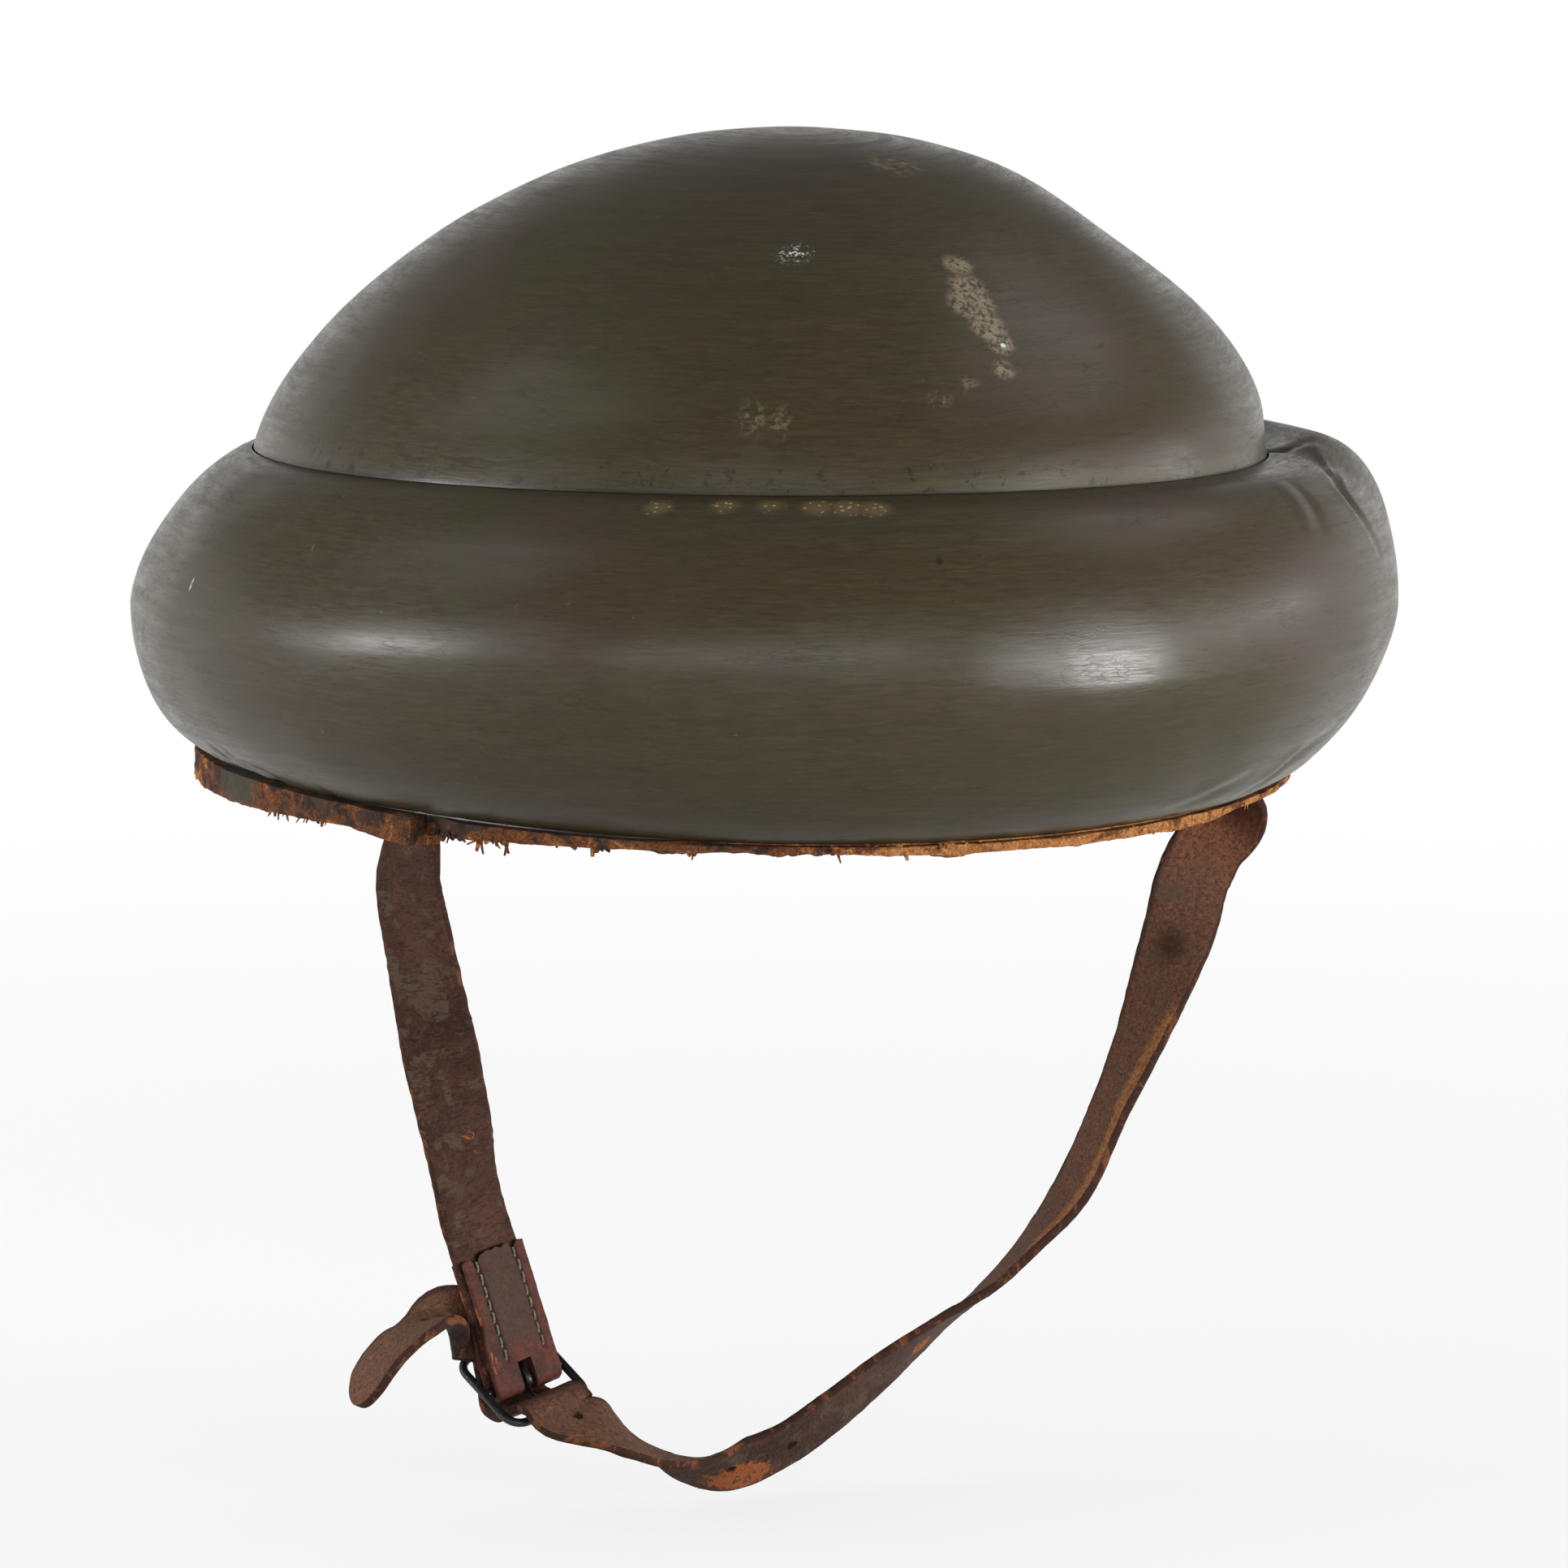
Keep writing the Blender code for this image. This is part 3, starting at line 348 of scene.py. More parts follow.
def roll_marks_and_seam_shade(s, length, grit):
    """Rubbed places, a scratch and flecks of the roll, and painted shade along its top seam. length is the way
    down from the seam.
    """
    tan = s.spots(
        (-52.8, -112, 68, 0.8, 3.4),
        (-44.8, -116, 68, 0.8, 3.4),
        (-64.3, -105.6, 67.4, 0.8, 3.4),
        (-36.8, -120.6, 67.8, 1.6, 3.0),
        (-26.7, -125, 67.2, 1.6, 3.0),
        (-31.5, -123, 67.6, 1.6, 3.0),
    )
    dots = s.times(s.fall(s.cells(s.place, 700.0), 0.22, 0.34), s.rise(grit, 0.42, 0.5))
    s.over(s.times(tan, s.either(dots, 0.18)), (0.36, 0.25, 0.11))
    scratch = s.either(
        s.stroke((-108.0, -43.0, 66.2), (-111.3, -44.6, 62.2), 0.1, 0.25),
        s.stroke((-110.9, -44.9, 62.8), (-116.9, -48.8, 56.2), 0.05, 0.25),
    )
    s.over(s.times(scratch, s.rise(grit, 0.35, 0.6)), (0.2, 0.17, 0.045))
    white = s.spots(*[(-129.6, -9.6, height, 0.2, 0.55, (1, 1, 0.5)) for height in (49.5, 47.4, 45.3, 43.2)])
    s.over(white, (0.5, 0.52, 0.47), 0.8)
    dark = s.spots((-18.6, -138.4, 58.0, 0.2, 0.9, (1, 1, 0.5)), (-123.6, -12.0, 12.0, 0.6, 1.6))
    s.over(dark, (0.014, 0.01, 0.007), 0.8)
    # Painted shade: a dark strip along the roll's top seam, where it meets the bowl.
    s.over(s.fall_mm(length, 0.5, 2.4), (0.012, 0.009, 0.006), 0.85)


def painted_leather(name, bowl):
    """Old satin paint over leather: fine brush streaks, soft blotches, the marks of use, and painted shade along
    the seam, with a painted highlight above it on the bowl.
    """
    s = Shader(name, (0.042, 0.034, 0.018), 0.35, 0.26)
    skin = s.attribute("skin")
    streaks = s.noise(s.stretch(skin, 170, 170, 1500), 1.0, 6.0, 0.66, 0.5)
    long_streaks = s.noise(s.stretch(skin, 30, 30, 420), 1.0, 5.0, 0.6, 0.6)
    specks = s.noise(s.place, 420.0, 3.0, 0.7)
    grit = s.noise(s.place, 800.0, 4.0, 0.75)
    warped = s.noise(s.stretch(skin, 90, 90, 260), 1.0, 2.0, 0.5)
    cells = s.vector("ADD", s.stretch(skin, 230, 230, 1400), s.times(warped, 1.6))
    cracked = s.rise(s.noise(s.stretch(skin, 60, 60, 180), 1.0, 4.0, 0.65), 0.46, 0.6)
    cracks = s.times(s.fall(s.cells(cells, 1.0, "DISTANCE_TO_EDGE"), 0.0, 0.12), cracked)
    s.two_tone(s.rise(streaks, 0.34, 0.68), (0.0365, 0.029, 0.0148), (0.051, 0.041, 0.022))
    s.over(s.rise(long_streaks, 0.42, 0.66), (0.0295, 0.0232, 0.0112), 0.45)
    s.over(s.rise(s.noise(s.place, 22.0, 5.0, 0.62, 0.3), 0.47, 0.66), (0.036, 0.034, 0.0133), 0.5)
    s.over(s.rise(s.noise(s.place, 11.0, 3.0, 0.55, 0.4), 0.47, 0.64), (0.0455, 0.0325, 0.0225), 0.6)
    s.over(s.rise(specks, 0.7, 0.78), (0.1, 0.08, 0.045), 0.8)
    s.over(cracks, (0.012, 0.009, 0.005), 0.28)
    if bowl:
        bowl_marks_and_painted_light(s, s.part(skin, 2), specks, grit)
    else:
        roll_marks_and_seam_shade(s, s.part(skin, 2), grit)
    rough = s.rise(s.plus(s.times(streaks, 0.55), s.times(long_streaks, 0.45)), 0.3, 0.72, 0.24, 0.42)
    height = s.plus(s.noise(s.stretch(skin, 220, 220, 1500), 1.0, 3.0), s.times(long_streaks, 0.8))
    height = s.math("SUBTRACT", height, s.times(cracks, 0.2))
    return s.finish(height, 0.00006, 0.3, s.plus(rough, s.times(cracks, 0.07)))


def raw_leather():
    """Torn flesh side: dark brown where it is soiled, orange where the surface has gone."""
    s = Shader("raw_strip", (0.05, 0.025, 0.015), 0.9, 0.2)
    patch = s.noise(s.stretch(s.place, 1, 1, 1.5), 110.0, 6.0, 0.68, 0.8)
    fibre = s.noise(s.place, 1100.0, 5.0, 0.7, 1.4)
    dirt = s.noise(s.place, 300.0, 4.0, 0.65)
    rust = s.mix(s.rise(fibre, 0.36, 0.64), (0.085, 0.028, 0.012), (0.24, 0.085, 0.03))
    orange = s.mix(s.rise(fibre, 0.36, 0.66), (0.26, 0.09, 0.025), (0.56, 0.25, 0.085))
    right = s.rise_mm(s.part(s.place, 0), -45, -5, 0.0, 0.13)
    bare = s.plus(patch, right, s.rise_mm(s.part(s.place, 2), -0.5, 3.5, 0.05, -0.05))
    s.two_tone(s.rise(dirt, 0.35, 0.68), (0.026, 0.019, 0.014), (0.085, 0.045, 0.03))
    s.over(s.rise(bare, 0.45, 0.52), rust)
    s.over(s.rise(bare, 0.56, 0.64), orange)
    s.over(s.rise(s.noise(s.place, 520.0, 4.0, 0.7, 0.6), 0.58, 0.66), (0.035, 0.017, 0.01), 0.8)
    grey = s.spots((-113.5, -2.0, 4.0, 5.0, 3.0, (1, 0.55, 1)), (-110.8, -20.0, 4.0, 1.5, 3.0))
    s.over(grey, (0.075, 0.068, 0.05), 0.92)
    return s.finish(s.plus(fibre, s.times(dirt, 1.6)), 0.0007, 0.9)


def grain_side(s, lie, worn, patch, wrinkle):
    """Dark pored leather with orange flecks where its face has gone."""
    pore = s.noise(s.stretch(lie, 1, 1, 0), 1500.0, 4.0, 0.7, 0.8)
    s.two_tone(s.rise(worn, 0.36, 0.66), (0.029, 0.012, 0.0085), (0.075, 0.034, 0.023))
    s.over(s.rise(patch, 0.53, 0.6), (0.082, 0.056, 0.039), 0.8)
    s.over(s.rise(pore, 0.42, 0.66), (0.1, 0.046, 0.03), 0.55)
    s.over(s.rise(wrinkle, 0.5, 0.62), (0.019, 0.009, 0.0065), 0.7)
    flecks = s.spots(
        (-89.5, -33, -45.5, 0.2, 1.4),
        (-86.3, -33, -62, 0.2, 1.6),
        (-79.5, -33, -67.2, 0.8, 2.4, (0.7, 1, 1)),
        (-76.8, -33, -71.2, 0.3, 1.4),
        (22, -33, -118, 1.5, 5.0),
        (-18, -33, -144, 3.0, 5.0, (0.5, 1, 1)),
    )
    broken = s.noise(s.stretch(lie, 1, 1, 0), 620.0, 5.0, 0.7, 1.2)
    s.over(s.rise(s.plus(s.times(flecks, 0.5), broken), 0.9, 0.98), (0.34, 0.1, 0.03), 0.85)
    s.over(s.stroke((-82.4, -33, -64.4), (-80.2, -33, -66.6), 0.1, 0.35), (0.5, 0.45, 0.2))
    return s.colour


def flesh_side(s, across, along, worn, patch, fuzz):
    """Fuzzy brown leather, redder at the right root and along one margin, soiled along the other."""
    fibre = s.rise(fuzz, 0.36, 0.66)
    s.two_tone(fibre, (0.075, 0.034, 0.022), (0.17, 0.085, 0.053))
    s.over(s.rise(patch, 0.5, 0.66), (0.09, 0.058, 0.042), 0.6)
    s.over(s.fall_mm(along, 44, 58), s.mix(fibre, (0.11, 0.038, 0.022), (0.25, 0.1, 0.05)), 0.75)
    margin = s.times(s.rise_mm(across, 1, 7), s.rise_mm(along, 66, 90), s.fall_mm(along, 135, 150))
    margin = s.rise(s.plus(margin, worn), 0.85, 1.3)
    s.over(margin, s.mix(s.rise(fuzz, 0.36, 0.6), (0.15, 0.058, 0.026), (0.34, 0.15, 0.06)), 0.85)
    soiled = s.either(s.spot(80.5, -33, -36.5, 1.0, 5.0), s.fall_mm(across, -7.4, -6, 0.9))
    s.over(soiled, (0.028, 0.016, 0.012), 0.75)
    return s.colour


def strap_material():
    """Bridle leather: its grain, its flesh and its cut edges, told apart by the strap attribute."""
    s = Shader("strap_leather", (0.06, 0.032, 0.024), 0.6, 0.1)
    lie = s.attribute("strap")
    across, along, side = (s.part(lie, axis) for axis in range(3))
    worn = s.noise(s.place, 55.0, 6.0, 0.66, 0.5)
    patch = s.noise(s.place, 170.0, 4.0, 0.6, 0.6)
    wrinkle = s.noise(s.stretch(lie, 420, 1100, 0), 1.0, 4.0, 0.65, 1.2)
    fuzz = s.noise(s.stretch(lie, 1, 1, 0), 1100.0, 5.0, 0.72, 1.0)
    grained = grain_side(s, lie, worn, patch, wrinkle)
    flesh = flesh_side(s, across, along, worn, patch, fuzz)
    s.two_tone(s.rise(side, -0.25, 0.25), flesh, grained)
    fleck = s.rise(s.noise(s.place, 260.0, 5.0, 0.7, 0.8), 0.5, 0.62)
    edge = s.mix(fleck, (0.04, 0.018, 0.013), (0.15, 0.055, 0.024))
    s.over(s.fall(s.math("ABSOLUTE", side, 0.0), 0.2, 0.75), edge)
    height = s.plus(s.times(wrinkle, -1.0), s.times(fuzz, 0.8))
    return s.finish(height, 0.0004, 0.7, s.rise(side, -0.25, 0.25, 0.9, 0.58))


def chape_material():
    """Red-brown leather with a darker middle between the seams, and orange where its margins are worn."""
    s = Shader("chape_leather", (0.11, 0.035, 0.022), 0.62, 0.16)
    lie = s.attribute("strap")
    across, up = s.part(lie, 0), s.part(lie, 1)
    worn = s.noise(s.stretch(lie, 330, 120, 120), 1.0, 5.0, 0.66, 0.5)
    fine = s.noise(s.place, 1100.0, 5.0, 0.7, 0.6)
    s.two_tone(s.rise(fine, 0.36, 0.66), (0.058, 0.0165, 0.0115), (0.125, 0.036, 0.023))
    s.over(s.rise(s.noise(s.place, 260.0, 4.0, 0.65, 0.5), 0.46, 0.62), (0.036, 0.0145, 0.0105), 0.7)
    middle = s.times(s.rise_mm(across, -4.6, -3.6), s.fall_mm(across, 5, 6), s.rise_mm(up, 6, 10))
    s.over(middle, s.mix(s.rise(fine, 0.36, 0.66), (0.038, 0.02, 0.014), (0.078, 0.041, 0.029)), 0.85)
    left = s.times(s.fall_mm(across, -8.2, -4.6), s.rise_mm(across, -8.3, -7.4, 0.5))
    margins = s.either(left, s.rise_mm(across, 6.4, 8.1, 0.0, 0.65))
    bare = s.times(s.plus(margins, s.rise(worn, 0.45, 0.7, 0.0, 0.75)), s.rise_mm(up, 1, 5, 0.35))
    s.over(s.rise(bare, 0.95, 1.3), (0.36, 0.1, 0.024))
    apart = [s.math("ABSOLUTE", s.math("SUBTRACT", across, place * MM), 0.0) for place in seam_places]
    seams = s.either(*[s.fall_mm(value, 0.25, 0.8) for value in apart])
    s.over(s.times(seams, s.rise_mm(up, 4, 6)), (0.018, 0.01, 0.008), 0.85)
    return s.finish(fine, 0.0004, 0.6, s.rise(fine, 0.3, 0.7, 0.42, 0.7))


def black_steel():
    s = Shader("black_wire", (0.02, 0.019, 0.019), 0.42, metallic=0.35)
    fine = s.noise(s.place, 1600.0, 3.0, 0.6)
    chips = s.noise(s.place, 420.0, 4.0, 0.65, 0.4)
    s.two_tone(s.rise(chips, 0.6, 0.72), (0.014, 0.0135, 0.0145), (0.11, 0.085, 0.065))
    return s.finish(fine, 0.00012, 0.5, s.rise(fine, 0.3, 0.7, 0.3, 0.55))


def copper():
    s = Shader("copper", (0.36, 0.17, 0.09), 0.4, metallic=0.9)
    tarnish = s.noise(s.place, 320.0, 4.0, 0.6)
    s.two_tone(s.rise(tarnish, 0.42, 0.66), (0.4, 0.19, 0.1), (0.12, 0.07, 0.045))
    return s.finish(tarnish, 0.0002, 0.5, s.rise(tarnish, 0.35, 0.7, 0.32, 0.6))


def felt():
    s = Shader("felt", (0.25, 0.24, 0.2), 0.95)
    fibre = s.noise(s.place, 1300.0, 4.0, 0.7, 1.5)
    cloud = s.noise(s.place, 140.0, 4.0, 0.6)
    s.two_tone(s.rise(fibre, 0.35, 0.7), (0.19, 0.18, 0.15), (0.31, 0.3, 0.255))
    s.over(s.rise(cloud, 0.45, 0.75), (0.16, 0.14, 0.11), 0.5)
    return s.finish(s.plus(fibre, s.times(cloud, 0.6)), 0.0007, 0.8)


def lining_leather():
    s = Shader("lining", (0.21, 0.11, 0.055), 0.55)
    sweat = s.noise(s.place, 45.0, 5.0, 0.62, 0.4)
    s.two_tone(s.rise(sweat, 0.4, 0.68), (0.26, 0.14, 0.07), (0.11, 0.055, 0.03))
    return s.finish(s.cells(s.place, 1100.0), 0.0003, 0.5, s.rise(sweat, 0.4, 0.7, 0.5, 0.68))


def linen_thread():
    s = Shader("thread", (0.19, 0.17, 0.12), 0.85)
    twist = s.noise(s.place, 2500.0, 2.0, 0.6)
    s.two_tone(s.rise(twist, 0.4, 0.65), (0.1, 0.09, 0.065), (0.26, 0.235, 0.165))
    return s.finish(twist, 0.0002, 0.7)


raw, lining, felt_wool = raw_leather(), lining_leather(), felt()
strap_leather, wire = strap_material(), black_steel()
pads = {"left_pad": (-4, 60), "rear_pad": (64, 116), "right_pad": (120, 184), "front_pad": (208, 332)}

# Each piece has its material, its body, its slot and the nodes it replaces
pieces = {
    "bowl_leather": (painted_leather("painted_bowl", True), "helmet", "painted_leather", "crown_shell"),
    "padded_roll": (
        painted_leather("painted_roll", False), "helmet", "painted_leather", "ring_cover", "ring_padding"
    ),
    "rim_strip": (raw, "helmet", "raw_strip", "rim_binding"),
    "rim_fibres": (raw, "helmet", "raw_strip"),
    "sweatband_leather": (lining, "helmet", "lining", "sweatband"),
    "crown_disc_leather": (lining, "helmet", "lining", "crown_disc"),
    "crown_pad_felt": (felt_wool, "helmet", "felt", "crown_pad"),
    "buckle_strap_leather": (strap_leather, "chin_strap", "strap_leather", "buckle_strap"),
    "tongue_strap_leather": (strap_leather, "chin_strap", "strap_leather", "tongue_strap"),
    "chape_fold": (chape_material(), "chin_strap", "chape_leather", "chape"),
    "chape_thread": (linen_thread(), "chin_strap", "chape_leather"),
    "buckle_wire_frame": (wire, "buckle", "black_wire", "buckle_frame"),
    "buckle_bar": (wire, "buckle", "black_wire"),
    "prong_wire": (wire, "prong", "black_wire", "buckle_prong"),
}
pieces |= {f"{name}_felt": (felt_wool, "helmet", "felt", name) for name in pads}
for tongue in (f"liner_tongue_{k}" for k in range(1, 9)):
    pieces[f"{tongue}_leather"] = (lining, "helmet", "lining", tongue)


# Meshes


def linked(name, data):
    obj = bpy.data.objects.new(name, data)
    bpy.context.scene.collection.objects.link(obj)
    return obj


def made(name, points, faces, label="", lie=None):
    """A piece from millimetre points. lie is the vector at each point that its material reads as label."""
    mesh = bpy.data.meshes.new(name)
    mesh.from_pydata((points * MM).tolist(), [], faces)
    if label:
        attribute = mesh.attributes.new(label, "FLOAT_VECTOR", "POINT")
        attribute.data.foreach_set("vector", (lie * MM).astype(np.float32).reshape(-1))
    mesh.validate()
    mesh.shade_smooth()
    mesh.set_sharp_from_angle(angle=math.radians(40))
    material, body, slot, *replaced = pieces[name]
    mesh.materials.append(material)
    obj = linked(name, mesh)
    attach(obj, body)
    if replaced:
        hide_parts(*replaced)
    return obj


def facing_out(points, faces):
    """The faces, turned round if the body they close is inside out."""
    fans = np.array([(face[0], *pair) for face in faces for pair in zip(face[1:], face[2:])])
    a, b, c = points[fans.T]
    return faces if (a * np.cross(b, c)).sum() > 0 else [face[::-1] for face in faces]


def loft_faces(rows, count, ring):
    faces = []
    for i in range(rows if ring else rows - 1):
        here, there = i * count, (i + 1) % rows * count
        faces += [(here + k, here + (k + 1) % count, there + (k + 1) % count, there + k) for k in range(count)]
    if not ring:
        last = (rows - 1) * count
        faces += [tuple(range(count)), tuple(range(last + count - 1, last - 1, -1))]
    return faces


def lofted(name, sections, ring, label="", lie=None):
    """A closed piece through an array of (section, point, 3). In a ring the last section meets the first."""
    points = sections.reshape(-1, 3)
    return made(name, points, facing_out(points, loft_faces(*sections.shape[:2], ring)), label, lie)


def gathered(bodies):
    """Points and faces of many small closed bodies, each an array of sections."""
    faces, first = [], 0
    for sections in bodies:
        own = sections.reshape(-1, 3)
        for face in facing_out(own, loft_faces(*sections.shape[:2], False)):
            faces.append(tuple(first + k for k in face))
        first += len(own)
    return np.concatenate([sections.reshape(-1, 3) for sections in bodies]), faces


def shell_body(outer, inner):
    """Points and faces of a domed shell from two grids of rings that climb to a point."""
    count = outer.shape[1]
    points = np.vstack([outer[:-1].reshape(-1, 3), inner[:-1].reshape(-1, 3), outer[-1, :1], inner[-1, :1]])
    around = [(k, (k + 1) % count) for k in range(count)]
    faces = []
    start = 0
    for side, grid in enumerate((outer, inner)):
        last = start + (len(grid) - 2) * count
        peak = len(points) - 2 + side
        walls = []
        for low in range(start, last, count):
            walls += [(low + k, low + after, low + count + after, low + count + k) for k, after in around]
        walls += [(last + k, last + after, peak) for k, after in around]
        faces += [face[::-1] for face in walls] if side else walls
        start = last + count
    inner_start = (len(outer) - 1) * count
    faces += [(after, k, inner_start + k, inner_start + after) for k, after in around]
    return points, faces


# Outlines of the helmet, as in part.py


def lean(angle):
    return np.cos(angle - lean_angle)


def rim_height(angle):
    return 3 * np.maximum(0, lean(angle)) ** 3


def roll_foot(angle):
    return 1.2 + rim_height(angle) / 2 + 3.7 * (lean(angle) - 0.25) ** 2


def skirt_offset(angle, height):
    return (4.5 - 3.5 * lean(angle)) * np.maximum(0, 1 - height / seam_height) ** 1.5


def lip_offset(angle):
    return skirt_offset(angle, rim_height(angle) + 1.5) + 3.2 - 1.4 * lean(angle)


def oval(half_width, half_length, angle, height):
    return np.stack(np.broadcast_arrays(half_width * np.cos(angle), half_length * np.sin(angle), height), -1)


def crown_point(angle, offset, height):
    return oval(crown_half_width + offset, crown_half_length + offset, angle, height)


def head_point(angle, offset, height):
    return oval(head_half_width + offset, head_half_length + offset, angle, height)


def dome_point(angle, climb, inset):
    wide = np.cos(climb) ** (2 / crown_powers[0])
    high = np.sin(climb) ** (2 / crown_powers[1])
    height = seam_height + (crown_height - inset - seam_height) * high
    place = oval((crown_half_width - inset) * wide, (crown_half_length - inset) * wide, angle, height)
    return place + leaning(crown_shift * high**2)


def leaning(shift):
    """A shift towards the side that the bowl leans to."""
    return np.stack([shift * math.cos(lean_angle), shift * math.sin(lean_angle), 0 * shift], -1)


def liner_point(angle, climb, inset):
    wide = np.cos(climb) ** (2 / liner_powers[0])
    high = np.sin(climb) ** (2 / liner_powers[1])
    height = sweatband_top + (liner_top - inset - sweatband_top) * high
    return oval((head_half_width - inset) * wide, (head_half_length - inset) * wide, angle, height)


def between(angle, *degrees):
    """1 between the middle two of four angles in degrees, and 0 outside the outer two."""
    start, full, fading, end = map(math.radians, degrees)
    return smooth(angle, start, full) * smooth(angle, end, fading)


def roll_point(angle, share):
    """The roll's outside, from its top seam at share 0 to its lower one at 1. Its front hangs a little."""
    side = lean(angle)
    middle = 38.5 + 1.5 * side - 5.5 * between(angle, 240, 275, 300, 345)
    foot = roll_foot(angle)
    bulge = 25.3 - 0.9 * side
    turn = math.pi / 2 * (1 - 2 * share)
    upper = turn >= 0
    power = np.where(upper, 1.95 + 0.45 * side, 1.72 - 0.25 * side)
    start = np.where(upper, soft_gap, skirt_offset(angle, foot) + soft_gap)
    height = np.where(upper, seam_height - middle, middle - foot)
    wide = np.abs(np.cos(turn)) ** (2 / power)
    high = np.abs(np.sin(turn)) ** (2 / power)
    return crown_point(angle, start + (bulge - start) * wide, middle + np.sign(turn) * height * high)


def tucked_in(angle):
    """How much the roll draws the bowl in along the seam."""
    return 0.3 + 2.5 * smooth(np.cos(angle + math.radians(75)), 0.0, 0.8)


# The bowl


def crown_relief(points, rise, angle):
    """The bowl with the swells and dents of moulded leather. rise is the way up from the seam."""
    out = 0.35 * waves(points, 75, 3) + 0.1 * waves(points, 24, 4)
    for middle, depth in (((66, -34, 116), -1.5), ((90, -40, 92), 2.0)):
        out = out + depth * bell(np.linalg.norm((points - middle) * (1, 0.8, 1), axis=-1), 20)
    out = out * smooth(rise, 0, 12) - tucked_in(angle) * bell(rise, seam_reach)
    return points + grid_normals(points) * out[..., None]


def make_crown():
    angle = round_angles(360)[None, :]
    foot = rim_height(angle) + 1.8
    height = foot + (seam_height - foot) * np.linspace(0, 1, 8)[:, None]
    grids = []
    for inset, steps in ((0, 112), (shell_wall, 40)):
        climb = np.linspace(0, math.pi / 2, steps + 1)[1:, None]
        skirt = crown_point(angle, skirt_offset(angle, height) - inset, height)
        grids.append(np.vstack([skirt, dome_point(angle, climb, inset)]))
    outer, inner = grids
    lengths = walked(outer)
    rise = lengths - lengths[len(height) - 1]
    relieved = crown_relief(outer, rise, angle)
    relieved[0], relieved[-1] = outer[0], relieved[-1].mean(0)
    points, faces = shell_body(relieved, inner)
    skin = points.copy()
    skin[: rise[:-1].size, 2] = rise[:-1].reshape(-1)
    skin[-2, 2] = rise[-1].mean()
    made("bowl_leather", points, faces, "skin", skin)


# The padded roll


roll_creases = (
    # corners (degrees round, share down), width and depth in millimetres, negative where it stands up
    (
        ((338, 0.0), (330.5, 0.06), (325.5, 0.1), (320, 0.185), (319.5, 0.235), (320, 0.285), (321.5, 0.37)),
        1.7,
        1.0,
    ),
    (((336, 0.02), (331, 0.045), (326.5, 0.075)), 0.7, 0.45),
    (((334.5, 0.05), (329, 0.085), (323.5, 0.13)), 0.8, 0.45),
    (((333.5, 0.02), (330, 0.03), (326, 0.05)), 0.6, 0.35),
    (((331, 0.1), (325, 0.14), (321.5, 0.18)), 0.9, 0.4),
    (((336, 0.01), (337, 0.035)), 3.2, 1.2),
    (((307.5, 0.125), (306.5, 0.212), (306, 0.267)), 2.4, -0.4),
    (((310.5, 0.11), (309.5, 0.2), (308.5, 0.27)), 2.0, 0.35),
    (((290, 0.871), (293.5, 0.85), (296.5, 0.821), (299, 0.8)), 2.2, 0.6),
    (((289, 0.845), (293, 0.82), (297, 0.79)), 2.4, -0.35),
    (((302, 0.883), (306, 0.85), (308, 0.8), (311, 0.771), (316, 0.746)), 2.3, 0.9),
    (((300, 0.86), (304, 0.82), (307, 0.775)), 2.5, -0.4),
    (((182, 0.795), (184, 0.865)), 1.3, 0.7),
    (((185.5, 0.8), (185, 0.85)), 0.9, 0.5),
    (((179.5, 0.83), (181, 0.9)), 1.2, 0.4),
    (((183.5, 0.862), (186, 0.875), (191, 0.93), (200, 0.945)), 1.6, -0.5),
    (((184, 0.835), (188, 0.85), (193, 0.9)), 1.5, 0.25),
    (((150, 0.02), (146, 0.08), (143, 0.17)), 1.2, 0.5),
    (((60, 0.02), (63, 0.09), (61, 0.16)), 1.1, 0.45),
    (((20, 0.02), (16, 0.1), (17, 0.2)), 1.4, 0.6),
    (((28, 0.86), (33, 0.8), (38, 0.78)), 2.0, 0.6),
    (((120, 0.9), (124, 0.83), (131, 0.8)), 2.0, 0.5),
)


def roll_relief(outside, angle, share):
    """How far the stuffed roll stands out from its plain form."""
    degrees = np.degrees(angle)
    window = smooth(share, 0.0, 0.12) * smooth(1 - share, 0.0, 0.1)
    out = (0.5 * waves(outside, 95, 11) + 0.13 * waves(outside, 26, 12)) * window
    spread = np.broadcast_arrays(degrees * roll_scale[0], share * roll_scale[1])
    for corners, width, depth in roll_creases:
        distance, along = away_from_line(*spread, np.multiply(corners, roll_scale))
        fade = 0.35 + 0.65 * np.sin(along * math.pi)
        out = out - depth * fade * (bell(distance, width) - 0.3 * bell(distance, 2.2 * width))
    rng = np.random.default_rng(13)
    for _ in range(46):  # gathers along the lower seam, weaker at the front
        at = rng.uniform(0, 360)
        front = smooth(degrees_apart(at, 255), 35, 60)
        top = rng.uniform(0.84, 0.91)
        line = np.multiply(((at + rng.uniform(-1.6, 1.6), top), (at, 0.985)), roll_scale)
        distance, along = away_from_line(*spread, line)
        depth = (0.08 + 0.3 * front) * rng.uniform(0.5, 1.2)
        out = out - depth * (0.3 + 0.7 * along) * bell(distance, 1.3)
    lobe = smooth(degrees_apart(degrees, 357), 30, 14) * smooth(share, 0.0, 0.08) * smooth(share, 0.46, 0.14)
    return out + 4.0 * lobe


